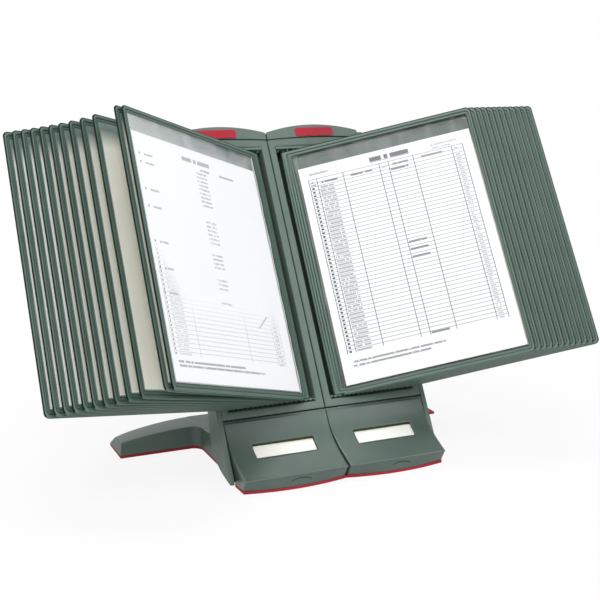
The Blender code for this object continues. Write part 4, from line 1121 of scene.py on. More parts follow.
@dataclass(frozen=True)
class DisplayPanel:
    """One swinging panel: a crowned frame with a ribbed spine, its pins and its sleeve."""

    places: StandPlaces
    thickness: float = 0.0024
    heel: float = 0.0024
    sheet_from_pivot: float = 0.015
    free_border: float = 0.0080
    top_border: float = 0.0279
    bottom_border: float = 0.010
    rim: float = 0.0062
    bottom_rim: float = 0.0082
    top_rim: float = 0.0084
    spine_band: float = 0.011
    corner: float = 0.0058
    heel_corner: float = 0.0012
    window_corner: float = 0.002
    relief_length: float = 0.0105
    relief_height: float = 0.0021
    relief_corner: float = 0.0004
    pin_radius: float = 0.001
    pin_length: float = 0.006
    foot_pin_length: float = 0.0031
    ledge_share: float = 0.56
    groove_share: float = 0.36
    bead_from_share: float = 0.40
    bead_power: float = 2.6
    outer_wall_share: float = 0.42
    clean_share: float = 0.80
    spine_ribs: int = 4
    rib_groove_share: float = 0.55
    rib_groove_width_share: float = 0.030
    insert_thickness: float = 0.0014
    sleeve_thickness: float = 0.0018
    film_thickness: float = 0.0003
    sheet_thickness: float = 0.0005
    slot_room: float = 0.0003
    face_samples: int = 54
    crowding: float = 0.055
    roll_power: float = 14.0
    spine_share: float = 0.96
    spine_fade: float = 0.012
    plain_share: float = 0.7
    swell_ease: float = 0.03
    swell_share: float = 0.45
    buckle: float = 0.00007
    buckle_waves: tuple[Point, ...] = (
        (23.0, 4.0, 0.0), (41.0, 0.0, 2.1), (9.0, -7.0, 0.0)
    )
    buckle_everywhere: float = 0.4
    buckle_ease: float = 0.05
    arc_steps: int = 5
    edge_steps: int = 6

    @property
    def reach(self) -> float:
        """Distance from the pivot to the free edge."""
        return self.sheet_from_pivot + self.places.sheet_width + self.free_border

    @property
    def top(self) -> float:
        """Climb of the upper edge."""
        return self.places.sheet_height + self.top_border

    @property
    def window(self) -> Bounds:
        """Low and high reach, then low and high climb of the window."""
        return (
            self.spine_band,
            self.reach - self.rim,
            -self.bottom_border + self.bottom_rim,
            self.top - self.top_rim,
        )

    def outer_outline(self) -> Array:
        """Outline of the frame, with the relief that clears the comb at its heel."""
        heel_low = -self.bottom_border + self.relief_height
        corners = [
            (-self.heel, heel_low),
            (self.relief_length, heel_low),
            (self.relief_length, -self.bottom_border),
            (self.reach, -self.bottom_border),
            (self.reach, self.top),
            (-self.heel, self.top),
        ]
        relief, heel = self.relief_corner, self.heel_corner
        radii = [heel, relief, relief, self.corner, self.corner, heel]
        return rounded_polygon(corners, radii, self.arc_steps, self.edge_steps)

    def inner_outline(self) -> Array:
        """Outline of the window, point for point beside the outer outline."""
        x0, x1, z0, z1 = self.window
        first = x0 + 2 * self.window_corner
        second = first + 2 * self.window_corner
        corners = [(x0, z0), (first, z0), (second, z0), (x1, z0), (x1, z1), (x0, z1)]
        radii = [self.window_corner] * 6
        radii[1] = radii[2] = self.relief_corner
        return rounded_polygon(corners, radii, self.arc_steps, self.edge_steps)

    def face_shares(self) -> Array:
        """Stations t - a sin(2 pi t) from window to outer edge, closer towards both edges."""
        t = np.linspace(0, 1, self.face_samples)
        return t - self.crowding * np.sin(math.tau * t)

    def half_thickness(self, share: Array, spine: Array) -> Array:
        """Half thickness of the rim at a share of its width.

        A low ledge beside the window ends in a groove; the rest is a bead whose section is
        the super-ellipse (1 - |2q - 1|^p)^(1/2), cut short by the outer wall. The spine is
        nearly flat, with bell-shaped grooves between its upright ribs.

        Args:
            share: Share of the way from the window to the outer edge.
            spine: How much of the spine's ribs shows, per point of the outline.

        Returns:
            Outline points by shares.
        """
        q = np.clip((share - self.bead_from_share) / (1 - self.bead_from_share), 0, 1)
        drop = 1 - self.outer_wall_share**2
        fall = np.where(q > 0.5, drop, 1.0) * np.abs(2 * q - 1) ** self.bead_power
        bead = np.clip(1 - fall, 0, 1) ** 0.5
        floor = np.where(q > 0, self.groove_share * (1 - q) ** 0.5, self.ledge_share)
        rim = np.maximum(bead, floor)
        mark = np.round(share * self.spine_ribs)
        inner = (mark > 0) & (mark < self.spine_ribs)
        away = np.abs(share - mark / self.spine_ribs) / self.rib_groove_width_share
        groove = np.where(inner, np.exp(-(away**2)), 0.0)
        roll = np.clip(1 - drop * share**self.roll_power, 0, 1) ** 0.5
        ribbed = (self.spine_share - self.rib_groove_share * groove) * roll
        mixed = rim[None] * (1 - spine[:, None]) + ribbed[None] * spine[:, None]
        return self.thickness / 2 * mixed

    def frame_stack(self) -> MeshStack:
        """The ring of the frame, and its two pins."""
        outer = self.outer_outline()
        inner = self.inner_outline()
        share = self.face_shares()
        z = outer[:, 1]
        on_spine = outer[:, 0] < -self.heel + TOUCHING
        ends = np.minimum(z + self.bottom_border, self.top - z) / self.spine_fade
        spine = np.where(on_spine, np.clip(ends, 0, 1), 0.0)
        half = self.half_thickness(share, spine)
        across = inner[:, None] + (outer - inner)[:, None] * share[None, :, None]
        front = np.stack([across[..., 0], -half, across[..., 1]], axis=-1)
        back = np.stack([across[..., 0], half, across[..., 1]], axis=-1)[:, ::-1]
        shares = np.concatenate([share, share[::-1]])
        heel_low = self.relief_height - self.bottom_border
        # Below the heel the shares are cut short, so the underside stays out of the painted dark
        # band at the outer edge.
        unshaded = np.where(z < heel_low + TOUCHING, self.clean_share, 1.0)[:, None]
        flat = np.stack(np.broadcast_arrays(shares[None] * unshaded, spine[:, None]), axis=-1)
        ring = np.concatenate([front, back], axis=1)
        # The pins take the tone at the plain share, which lies in the bead's painted highlight.
        stack = MeshStack(plain=(self.plain_share, 0.0))
        stack.grid(ring, wrap_rows=True, wrap_columns=True, flat=flat)
        stack.tube(round_bar(
            self.pin_radius, self.top - self.pin_length / 2, self.top + self.pin_length
        ))
        return stack.tube(round_bar(
            self.pin_radius, heel_low - self.foot_pin_length, heel_low + self.foot_pin_length
        ))

    def slab(
        self,
        side: Side,
        bounds: Bounds,
        half: Callable[[Array, Array], Array],
        quads: tuple[int, int],
        open_top: bool = False,
    ) -> MeshStack:
        """Thin slab: a front and a back height field joined along their borders.

        Args:
            side: Half of the stand, for the reading direction of the flat pattern.
            bounds: Low and high reach, low and high climb.
            half: Half thickness at shares of the width and height.
            quads: Quads across and up.
            open_top: Leave the upper border open.

        Returns:
            The slab's patches.
        """
        x0, x1, z0, z1 = bounds
        s, t = np.meshgrid(*(np.linspace(0, 1, count + 1) for count in quads))
        reach = x0 + (x1 - x0) * s
        climb = z0 + (z1 - z0) * t
        rise = half(s, t)
        u = (reach - self.sheet_from_pivot) / self.places.sheet_width
        u = u if side is Side.RIGHT else 1 - u
        flat = np.stack([u, climb / self.places.sheet_height], axis=-1)
        front = np.stack([reach, -rise, climb], axis=-1)
        back = np.stack([reach, rise, climb], axis=-1)
        stack = MeshStack().grid(front, flat=flat).grid(back, flat=flat)
        borders = [(slice(None), 0), (slice(None), -1), (0, slice(None))]
        if not open_top:
            borders.append((-1, slice(None)))
        for border in borders:
            rim = np.stack([front[border], back[border]], axis=1)
            stack.grid(rim, flat=np.stack([flat[border], flat[border]], axis=1))
        return stack

    def grown_window(self, grow: float) -> Bounds:
        """Bounds of the window, grown on all sides."""
        x0, x1, z0, z1 = self.window
        return (x0 - grow, x1 + grow, z0 - grow, z1 + grow)

    def insert_stack(self, side: Side) -> MeshStack:
        """Sleeve with paper that fills a closed panel's window, swelling a little inwards."""

        def half(s: Array, t: Array) -> Array:
            """Thin at the border, full thickness a few millimetres in, with a faint swell."""
            edge = np.minimum(np.minimum(s, 1 - s), np.minimum(t, 1 - t))
            full = np.clip(edge / self.swell_ease, 0, 1) ** 0.5
            return self.insert_thickness / 2 * (1 - self.swell_share + self.swell_share * full)

        return self.slab(side, self.grown_window(self.places.seam), half, (34, 44))

    def sleeve_stack(self, side: Side) -> MeshStack:
        """Clear sleeve of the front panel, open at its top, with shallow buckles."""

        def half(s: Array, t: Array) -> Array:
            """Full thickness less a sum of three sine waves, deepest at the upright borders."""
            wave = sum(np.sin(a * t + b * s + c) for a, b, c in self.buckle_waves)
            near = self.buckle_everywhere + np.exp(-np.minimum(s, 1 - s) / self.buckle_ease)
            return self.sleeve_thickness / 2 - self.buckle * (1 + wave / 3) * near

        bounds = self.grown_window(-self.places.seam)
        return self.slab(side, bounds, half, (40, 70), open_top=True)

    def sheet_stack(self, side: Side) -> MeshStack:
        """The loose letter sheet of the front panel."""
        x0 = self.sheet_from_pivot
        bounds = (x0, x0 + self.places.sheet_width, 0.0, self.places.sheet_height)

        def half(s: Array, t: Array) -> Array:
            """Even thickness."""
            return np.full_like(s, self.sheet_thickness / 2)

        return self.slab(side, bounds, half, (12, 16))

    def slot_stack(self) -> MeshStack:
        """Cutter for the slot through the top bar that the sheet slides out of."""
        half = self.sheet_thickness / 2 + self.slot_room
        room = 2 * self.slot_room
        x0 = self.sheet_from_pivot - room
        x1 = self.sheet_from_pivot + self.places.sheet_width + room
        low, high = self.window[3] - self.corner / 2, self.top + self.corner / 2
        outline = np.array(rectangle((x0, x1, -half, half)))
        return MeshStack().pile(outline, [(0.0, low), (0.0, high)], Axis.UP)


def round_bar(radius: float, low: float, high: float, steps: int = 12) -> Array:
    """Rings of an upright round bar at the origin with a small chamfer at both ends."""
    ring = circle(1.0, np.linspace(0, math.tau, steps, endpoint=False))
    chamfer = radius / 4
    places = (
        (low, radius - chamfer), (low + chamfer, radius),
        (high - chamfer, radius), (high, radius - chamfer),
    )
    return np.stack([np.insert(ring * r, 2, z, axis=1) for z, r in places])


def cut_piece(piece: bpy.types.Object, tool: bpy.types.Object) -> None:
    """Take a closed tool out of a closed piece, then drop the tool."""
    cutter = piece.modifiers.new("cut", "BOOLEAN")
    cutter.operation = "DIFFERENCE"
    cutter.solver = "EXACT"
    cutter.object = tool
    bpy.context.view_layer.update()
    graph = bpy.context.evaluated_depsgraph_get()
    result = bpy.data.meshes.new_from_object(piece.evaluated_get(graph))
    piece.modifiers.clear()
    piece.data = result
    bpy.data.objects.remove(tool, do_unlink=True)


@dataclass(frozen=True)
class PanelFan:
    """The twelve panels of one half, each on its own pivot and at its own lean in degrees."""

    places: StandPlaces
    panel: DisplayPanel
    side: Side
    leans: tuple[float, ...]
    first_pivot: float = 0.0173
    pivot_pitch: float = 0.0082
    pivot_depth: float = 0.0026
    white_from: int = 8

    def build(self, palette: Palette) -> None:
        """Build every frame with its sleeve, and the front panel's loose sheet."""
        word = self.side.word
        for index, lean in enumerate(self.leans):
            pivot = self.first_pivot + index * self.pivot_pitch
            carry = self.places.from_panel(
                self.side, pivot, self.pivot_depth, math.radians(lean)
            )
            node = f"{word}_panel_{index + 1:02d}"
            frame = self.panel.frame_stack().build(f"{node}_frame", carry, palette.panel)
            if index == 0:
                tool = self.panel.slot_stack().build("slot_tool", carry, palette.panel)
                cut_piece(frame, tool)
                frame.data.set_sharp_from_angle(angle=math.radians(CRISP_DEG))
                fit_piece(frame, node, [node])
                self.build_front(palette, carry, node)
                continue
            fit_piece(frame, node, [node])
            beige = palette.beige_insert[self.side]
            paper = palette.white_insert if index >= self.white_from else beige
            insert = self.panel.insert_stack(self.side).build(f"{node}_insert", carry, paper)
            fit_piece(insert, node)

    def build_front(self, palette: Palette, carry: ToRow, node: str) -> None:
        """Build the front panel's clear sleeve and its printed sheet."""
        word = self.side.word
        middle = (self.panel.reach / 2, 0.0, self.panel.top / 2)
        sleeve = self.panel.sleeve_stack(self.side).build(
            f"{word}_sleeve", carry, palette.film[self.side], inside=middle
        )
        give_wall(sleeve, self.panel.film_thickness)
        fit_piece(sleeve, node, [f"{word}_clear_pocket"])
        ink = palette.right_print if self.side is Side.RIGHT else palette.left_print
        sheet = self.panel.sheet_stack(self.side).build(f"{word}_sheet", carry, ink)
        fit_piece(sheet, f"{word}_letter_sheet", [f"{word}_letter_sheet"])


@dataclass(frozen=True)
class Rack:
    """The fixed upper part of one half: frame, arched cap, badge and back cover."""

    places: StandPlaces
    side: Side
    inner_stile: float = 0.0094
    outer_stile: float = 0.0082
    chamfer: float = 0.0015
    chamfer_shares: Pairs = (
        (0.0, 1.2), (0.12, 0.62), (0.45, 0.25), (1.0, 0.04), (1.3, 0.0)
    )
    edge: float = 0.0008
    edge_shares: Pairs = (
        (1.3, 0.0), (0.4, 0.15), (0.1, 0.45), (0.0, 1.0)
    )
    seam_inset: float = 0.0008
    opening_corner: float = 0.0016
    cap_end_height: float = 0.0103
    cap_arch: float = 0.0096
    cap_proud: float = 0.001
    cap_edge: float = 0.0014
    badge_left: float = 0.0395
    badge_right: float = 0.0920
    badge_low: float = 0.3272
    badge_high: float = 0.3392
    badge_corner: float = 0.003
    badge_rise: float = 0.0007
    badge_round_share: float = 0.8
    back_thickness: float = 0.0025
    back_corner: float = 0.0015
    field_margin: float = 0.012
    back_edge: Pairs = ((0.0, 0.0006), (0.0002, 0.0002), (0.0007, 0.0))
    field_edge: Pairs = (
        (-0.0006, 0.0), (-0.0002, 0.0002), (0.0, 0.0009), (0.0005, 0.0012)
    )
    screw_radius: float = 0.0031
    screw_margin: float = 0.0062
    screw_seam_margin: float = 0.0082
    screw_profile: Pairs = (
        (1.0, 0.0), (1.0, 0.0003), (0.94, 0.0007), (0.8, 0.001), (0.55, 0.00115),
        (0.4, 0.00118), (0.3, 0.0007), (0.1, 0.0005),
    )
    recess_share: float = 0.45
    recess_depth_share: float = 0.55
    recess_power: float = 0.6
    saw_teeth: int = 18
    saw_low: float = 0.0009
    saw_high: float = 0.0029
    saw_front: float = 0.0002
    saw_back: float = 0.0005

    def lift(self, x: Array, climb: Array) -> Array:
        """Rise of the rack's top bar: a parabola across, growing from the opening up."""
        p = self.places
        share = np.clip((climb - p.opening_top) / (p.rack_top - p.opening_top), 0, 1)
        return p.rack_arch * parabola(x / p.module_width) * share

    def frame_stack(self) -> MeshStack:
        """Deep ring between the opening and the outer outline."""
        p = self.places
        whole = (self.seam_inset, p.module_width, p.rack_bottom, p.rack_top)
        outer = rounded_box(whole, self.edge, 3, 24)
        x0, x1 = self.inner_stile, p.module_width - self.outer_stile
        opening = (x0, x1, p.opening_bottom, p.opening_top)
        inner = rounded_box(opening, self.opening_corner, 3, 24)
        bevel = self.chamfer / self.inner_stile
        rim = self.edge / self.inner_stile
        profile = np.array([
            *((bevel * place, self.chamfer * drop) for place, drop in self.chamfer_shares),
            *((1 - rim * place, self.edge * drop) for place, drop in self.edge_shares),
            (1.0, p.rack_depth),
            (0.0, p.rack_depth),
        ])
        across = inner[:, None] + (outer - inner)[:, None] * profile[None, :, :1]
        x, climb = across[..., 0], across[..., 1]
        depth = np.broadcast_to(profile[:, 1], x.shape)
        points = np.stack([x, depth, climb + self.lift(x, climb)], axis=-1)
        return MeshStack().grid(points, wrap_rows=True, wrap_columns=True)

    def saw_stack(self) -> MeshStack:
        """Near-black strip in front of the lower comb, a painted shadow for the shade between its
        teeth; its upper edge is a triangle wave.
        """
        p = self.places
        x = np.linspace(
            self.inner_stile + 2 * p.seam,
            p.module_width - self.outer_stile - 2 * p.seam,
            2 * self.saw_teeth + 1,
        )
        rise = np.where(np.arange(len(x)) % 2, self.saw_high, self.saw_low)
        low = np.full_like(x, p.opening_bottom + p.seam)
        high = p.opening_bottom + rise
        front, back = np.full_like(x, self.saw_front), np.full_like(x, self.saw_back)
        ring = ((front, low), (front, high), (back, high), (back, low))
        return MeshStack().tube(
            np.stack([np.stack([x, y, z], axis=1) for y, z in ring], axis=1)
        )

    def cap_stack(self) -> MeshStack:
        """Arched cap: a section with two rounded upper edges, carried along the row."""
        p = self.places
        radius = self.cap_edge
        left, right = self.seam_inset, p.module_width
        ends = round_ends(left, right, radius * 0.5, 3)
        inner = np.linspace(left + radius, right - radius, 37)
        stations = ends[:4] + [(0.0, x) for x in inner] + ends[4:]
        inset = np.array([s[0] for s in stations])[:, None]
        x = np.array([s[1] for s in stations])[:, None]
        t = (x - left) / (right - left)
        arch = parabola(t)
        low = p.rack_top + self.seam_inset + p.rack_arch * arch + inset
        high = p.rack_top + self.cap_end_height + self.cap_arch * arch - inset
        front = -self.cap_proud + inset
        back = p.back_face - inset
        quarter = np.linspace(0, math.pi / 2, 6)[None]
        small = radius * 0.5
        depth = np.concatenate([
            front + small * (1 - np.cos(quarter)),
            back - radius * (1 - np.sin(quarter)),
            back, front,
        ], axis=1)
        climb = np.concatenate([
            high - small * (1 - np.sin(quarter)),
            high - radius * (1 - np.cos(quarter)),
            low, low,
        ], axis=1)
        return MeshStack().tube(
            np.stack([np.broadcast_to(x, depth.shape), depth, climb], axis=-1)
        )

    def badge_stack(self) -> MeshStack:
        """Plain rounded plate on the cap's front, with a rounded face edge."""
        bounds = (self.badge_left, self.badge_right, self.badge_low, self.badge_high)
        outline = rounded_box(bounds, self.badge_corner, 6, 16)
        root = -self.cap_proud + self.badge_rise
        front = -self.cap_proud - self.badge_rise
        steps = round_ends(root, front, self.badge_rise * self.badge_round_share)[5:]
        return MeshStack().pile(outline, [(0.0, root)] + steps, Axis.DEPTH)

    def back_stack(self) -> MeshStack:
        """Back plate with rounded edges and a sunk field."""
        p = self.places
        whole = (p.seam / 2, p.module_width, p.rack_bottom, p.rack_top)
        outline = rounded_box(whole, self.back_corner, 4, 4)
        face = p.back_face
        margin = self.field_margin
        steps = [
            (0.0, face - self.back_thickness),
            *((inset, face - drop) for inset, drop in self.back_edge),
            *((margin + inset, face - drop) for inset, drop in self.field_edge),
        ]
        return MeshStack().pile(outline, steps, Axis.DEPTH)

    def screw_stack(self, x: float, climb: float) -> MeshStack:
        """Pan head screw with a cross recess pressed in, seen from behind."""
        turn = np.linspace(0, math.tau, 32, endpoint=False)
        arms = np.abs(np.sin(2 * turn)) ** self.recess_power
        cross = 1 - self.recess_depth_share * arms
        rings = []
        for share, rise in self.screw_profile:
            shape = cross if share < self.recess_share else np.ones_like(turn)
            ring = circle(self.screw_radius * share * shape, turn) + (x, climb)
            rings.append(np.insert(ring, 1, self.places.back_face + rise, axis=1))
        return MeshStack().tube(np.stack(rings))

    def build(self, palette: Palette) -> None:
        """Build the fixed pieces of the rack."""
        word = self.side.word
        carry = self.places.from_rack(self.side)
        for stack, name, finish, slot, nodes in (
            (self.frame_stack(), "rack_shell", palette.body, "body", ["rack_frame"]),
            # Painted shadow: the near-black saw strip stands for the shade between the comb's
            # teeth.
            (self.saw_stack(), "comb_teeth", palette.lining, "body", []),
            (self.cap_stack(), "arched_cap", palette.body, "body", ["top_cap"]),
            (self.badge_stack(), "plain_badge", palette.badge, "body", []),
            (self.back_stack(), "back_plate", palette.back, "back", ["back_cover"]),
        ):
            piece = stack.build(f"{word}_{name}", carry, finish)
            fit_piece(piece, "stand", [f"{word}_{node}" for node in nodes])
        low = self.places.rack_bottom + self.screw_margin
        high = self.places.rack_top - self.screw_margin
        far = self.places.module_width - self.screw_margin
        places = ((x, z) for z in (low, high) for x in (self.screw_seam_margin, far))
        for number, (x, climb) in enumerate(places, 1):
            name = f"{word}_back_screw_{number}"
            screw = self.screw_stack(x, climb).build(name, carry, palette.steel)
            fit_piece(screw, "stand")


@dataclass(frozen=True)
class EndPanel:
    """Side plate of the row, swept down into a cheek beside the base."""

    places: StandPlaces
    side: Side
    thickness: float = 0.0077
    top_above_rack: float = 0.0082
    edge: float = 0.0014
    toe: float = 0.0935
    hip_drop: float = 0.042
    hip_depth: float = 0.032
    waist_rise: float = 0.012
    toe_handle_depth: float = 0.018
    toe_handle_rise: float = 0.016
    hip_handle_low: float = 0.018
    hip_handle_high: float = 0.022
    cover_setback: float = 0.004
    toe_taper_from: float = -0.045
    toe_taper_share: float = 0.3
    top_corner: float = 0.002

    def narrowed(self, points: Array) -> Array:
        """Thin the plate towards its toe: the width loses a share that grows as a square."""
        x0 = self.places.module_width + self.places.seam
        run = (self.toe_taper_from - points[..., 2]) / (self.toe_taper_from + self.toe)
        share = 1 - self.toe_taper_share * np.clip(run, 0, 1) ** 2
        x = points[..., 0]
        out = points.copy()
        out[..., 0] = np.where(x > x0, x0 + (x - x0) * share, x)
        return out

    def outline(self, toe_climb: float, steps: int = 30) -> Array:
        """Silhouette in depth and climb: two Bezier curves from the toe over the hip."""
        hip = (self.hip_depth, -self.hip_drop)
        lower = [
            (0, toe_climb),
            (self.toe_handle_depth, toe_climb + self.toe_handle_rise),
            (self.hip_depth, -self.hip_drop - self.hip_handle_low),
            hip,
        ]
        depth = self.places.rack_depth
        upper = [
            hip,
            (self.hip_depth, -self.hip_drop + self.hip_handle_high),
            (depth, 0),
            (depth, self.waist_rise),
        ]
        corner = self.top_corner
        top = self.places.rack_top + self.top_above_rack - corner
        turn = np.linspace(0, math.pi / 2, 5)
        back = circle(corner, turn) + (depth - corner, top)
        front = circle(corner, turn + math.pi / 2) + (corner, top)
        return np.concatenate([bezier(lower, steps), bezier(upper, steps)[1:], back, front])

    def build(self, palette: Palette) -> None:
        """Build the plate and its thicker foot."""
        p = self.places
        x0 = p.module_width + p.seam
        outline = self.outline(-self.toe)
        steps = round_ends(x0, x0 + self.thickness, self.edge)
        steps = [(0.0, x0)] + steps[5:]
        stack = MeshStack().pile(outline, steps, Axis.ACROSS)
        sole_climb = (p.sole_top - p.rack_height) / math.cos(p.recline)
        whole = self.outline(sole_climb)
        near = self.cover_setback + 2 * p.seam
        high = p.rack_bottom - 2 * p.seam
        run = whole[(whole[:, 0] >= near) & (whole[:, 1] <= high)]
        low = np.interp(near, whole[:20, 0], whole[:20, 1]) + p.seam
        foot = np.concatenate([[(near, low)], run, [(run[-1, 0], high), (near, high)]])
        ends = [(0.0, p.base_width + p.seam), (0.0, x0 + p.seam)]
        stack.pile(foot, ends, Axis.ACROSS)
        to_row = p.from_rack(self.side)
        piece = stack.build(
            f"{self.side.word}_cheek", lambda points: to_row(self.narrowed(points)), palette.cheek
        )
        fit_piece(piece, "stand", [f"{self.side.word}_end_panel"])


@dataclass(frozen=True)
class FrontCover:
    """Hinged cover: a concave face with a label window, a straight lip and a bowed nose."""

    places: StandPlaces
    side: Side
    skin: float = 0.0022
    lip_y: float = -0.0773
    lip_height: float = 0.0178
    foot_y: float = -0.0679
    lip_slope: float = math.radians(20.0)
    handle_top: float = 0.0281
    handle_lip: float = 0.0411
    chin_y: float = -0.0748
    chin_height: float = 0.0142
    back_setback: float = 0.004
    taper: float = 0.0024
    barrel: float = 0.0022
    barrel_edge: float = 0.0003
    gap_line: float = 0.001
    hinge_clearance: float = 0.0003
    ear_width: float = 0.004
    ear_inset: float = 0.010
    label_width: float = 0.0754
    label_top_y: float = -0.0302
    label_bottom_y: float = -0.0467
    label_shift: float = 0.001
    label_recess: float = 0.004
    label_margin: float = 0.003
    label_floor: float = 0.0015
    tray_from_share: float = 0.6
    tray_corner: float = 0.001
    window_corner: float = 0.0003
    notch_width: float = 0.027
    notch_crest: float = 0.0132
    notch_ends: float = 0.0095
    notch_foot: float = 0.0055
    notch_depth: float = 0.0016
    notch_shift: float = 0.004
    notch_step: float = 0.0003
    notch_ease_share: float = 0.15
    notch_reach_share: float = 1.05
    near_lip_share: float = 0.97
    column_room: float = 0.0002
    behind: float = 0.02
    nose_bow: float = 0.008
    side_round: float = 0.0011
    lip_round: float = 0.0008
    lip_bead: float = 0.00035
    lip_swell_share: float = 0.35
    wear_width: float = 0.0007
    normal_passes: int = 6
    seam_taper: float = 0.0013
    # Width of the painted shade band on the window's walls, wider at the top edge as a painted
    # shadow line.
    lining: float = 0.0004
    lining_top: float = 0.0014
    lining_sunk: float = 0.0002
    groove_sink: float = 0.0009
    groove_half: float = 0.00045
    sharp_deg: float = 28.0

    @property
    def axis_climb(self) -> float:
        """Climb of the hinge axis in rack axes."""
        return self.places.rack_bottom - self.gap_line - self.barrel

    def face_curve(self, steps: int = 400) -> Array:
        """Concave face as (y, z): leaves the hinge down the rack and meets the lip at a slope."""
        top = self.places.base_point(0.0, self.axis_climb)
        lean, slope = self.places.recline, self.lip_slope
        handle, lip_handle = self.handle_top, self.handle_lip
        return bezier(
            [
                top,
                (top[0] - handle * math.sin(lean), top[1] - handle * math.cos(lean)),
                (
                    self.lip_y + lip_handle * math.cos(slope),
                    self.lip_height + lip_handle * math.sin(slope),
                ),
                (self.lip_y, self.lip_height),
            ],
            steps,
        )

    def window_marks(self) -> Array:
        """Shares of the face curve at the window's upper and lower edge."""
        fine = self.face_curve()
        t = np.linspace(0, 1, len(fine))
        return np.interp([-self.label_top_y, -self.label_bottom_y], -fine[:, 0], t)

    def face_points(self, shares: Array) -> Array:
        """Points (y, z) of the face curve at shares of it."""
        fine = self.face_curve()
        t = np.linspace(0, 1, len(fine))
        return np.stack([np.interp(shares, t, fine[:, k]) for k in (0, 1)], axis=-1)

    @property
    def label_centre(self) -> float:
        """Middle of the window across."""
        return self.places.module_width / 2 + self.side.value * self.label_shift

    @property
    def notch_centre(self) -> float:
        """Middle of the finger notch across."""
        return self.places.module_width / 2 + self.side.value * self.notch_shift

    def face_rows(self) -> tuple[Array, tuple[int, int]]:
        """Rows down the face, with the window's two edges among them."""
        top, bottom = self.window_marks()
        near_lip = self.near_lip_share
        rows = np.concatenate([
            np.linspace(0, top, 15)[:-1],
            np.linspace(top, bottom, 9)[:-1],
            np.linspace(bottom, near_lip, 11)[:-1],
            np.linspace(near_lip, 1, 9),
        ])
        return self.face_points(rows), (14, 22)

    def bow(self, x: Array) -> Array:
        """Share of the nose's bow at x: a parabola over the module's width."""
        return parabola(x / self.places.module_width)

    def nose_y(self, x: Array, z: Array) -> Array:
        """Depth of the nose face: a tucked plane, less a bow that grows towards the foot."""
        drop = (self.chin_height - z) / (self.chin_height - self.places.sole_top)
        below = (self.lip_height - z) / (self.lip_height - self.places.sole_top)
        y = self.chin_y + (self.foot_y - self.chin_y) * drop
        return y - self.nose_bow * self.bow(x) * below

    def notch_sink(self, x: Array, z: Array) -> Array:
        """Depth of the finger scoop: a step under an arch that fades out towards the foot."""
        share = (x - self.notch_centre) / (self.notch_width / 2)
        arch = self.notch_ends + (self.notch_crest - self.notch_ends) * (1 - share**2)
        ends = np.clip((1 - np.abs(share)) / self.notch_ease_share, 0, 1)
        inside = np.clip((arch - z) / self.notch_step, 0, 1) * ends
        fade = np.clip((z - self.notch_foot) / (self.notch_crest - self.notch_foot), 0, 1)
        groove = np.exp(-(((arch - z) / self.groove_half - 1) ** 2)) * ends
        return self.notch_depth * fade * inside + self.groove_sink * groove

    def columns(self, label: tuple[float, float]) -> Array:
        """Stations across, with the window's edges among them and close in the notch."""
        p = self.places
        centre = self.notch_centre
        reach = self.notch_width / 2 * self.notch_reach_share
        low = p.seam + self.side_round
        high = p.module_width - p.seam - self.side_round
        wide = np.linspace(low, high, 64)
        notch = np.linspace(centre - reach, centre + reach, 72)
        room = self.column_room
        wide = wide[(wide < notch[0] - room) | (wide > notch[-1] + room)]
        both = np.concatenate([wide, notch])
        for edge in label:
            both = both[np.abs(both - edge) > 2 * room]
        return np.sort(np.concatenate([both, label]))

    def shell_stack(self) -> MeshStack:
        """Outer skin: the face, the lip, the nose and both flanks, with the window left out."""
        p = self.places
        centre = self.label_centre
        label = (centre - self.label_width / 2, centre + self.label_width / 2)
        inner = self.columns(label)
        quarter = np.linspace(0, math.pi / 2, 5)[:-1]
        low, high = p.seam, p.module_width - p.seam
        first = low + self.side_round * (1 - np.sin(math.pi / 2 - quarter))
        x = np.concatenate([first, inner, (low + high - first)[::-1]])
        inset = self.side_round * (1 - np.sin(quarter))
        inset = np.concatenate([inset, np.zeros(len(inner)), inset[::-1]])
        face, (row_low, row_high) = self.face_rows()
        column_low = int(np.argmin(np.abs(x - label[0])))
        column_high = int(np.argmin(np.abs(x - label[1])))
        face_rows = len(face)
        shape = (face_rows, len(x))
        y = np.broadcast_to(face[:, :1], shape).copy()
        z = np.broadcast_to(face[:, 1:], shape).copy()
        lip_low = self.lip_height - 2 * self.lip_round
        turn = np.linspace(0, math.pi / 2, 6)[1:, None]
        lip_end = self.nose_y(x, np.full_like(x, lip_low))[None]
        part = turn / (math.pi / 2)
        lip_y = self.lip_y - self.lip_round * self.lip_swell_share * np.sin(2 * turn)
        lip_z = self.lip_height - (self.lip_height - lip_low) * part
        blend = part**2
        lip = lip_y * (1 - blend) + lip_end * blend
        heights = np.concatenate([
            np.linspace(lip_low, self.chin_height, 6)[1:],
            np.linspace(self.chin_height, self.notch_foot, 52)[1:],
            np.linspace(self.notch_foot, p.sole_top, 5)[1:],
        ])
        nose_z = np.broadcast_to(heights[:, None], (len(heights), len(x)))
        nose_x = np.broadcast_to(x, nose_z.shape)
        nose = self.nose_y(nose_x, nose_z) + self.notch_sink(nose_x, nose_z)
        y = np.vstack([y, lip, nose])
        z = np.vstack([z, np.broadcast_to(lip_z, lip.shape), nose_z])
        step = unit(np.stack([np.gradient(y, axis=0), np.gradient(z, axis=0)], axis=-1))
        for _ in range(self.normal_passes):
            step[1:-1] = unit(step[:-2] + 2 * step[1:-1] + step[2:])
        from_lip = np.hypot(y - self.lip_y, z - self.lip_height)
        raise_lip = self.lip_bead * np.exp(-((from_lip / self.lip_round) ** 2))
        y = y - step[..., 1] * (inset[None] - raise_lip)
        z = z + step[..., 0] * (inset[None] - raise_lip)
        top_y = float(face[0, 0])
        rate = self.taper / (top_y - self.lip_y)
        share = (x - low) / (high - low)
        seam_rate = self.seam_taper / (top_y - self.lip_y)
        lean = (share * rate - (1 - share) * seam_rate)[None] * np.clip(top_y - y, 0, None)
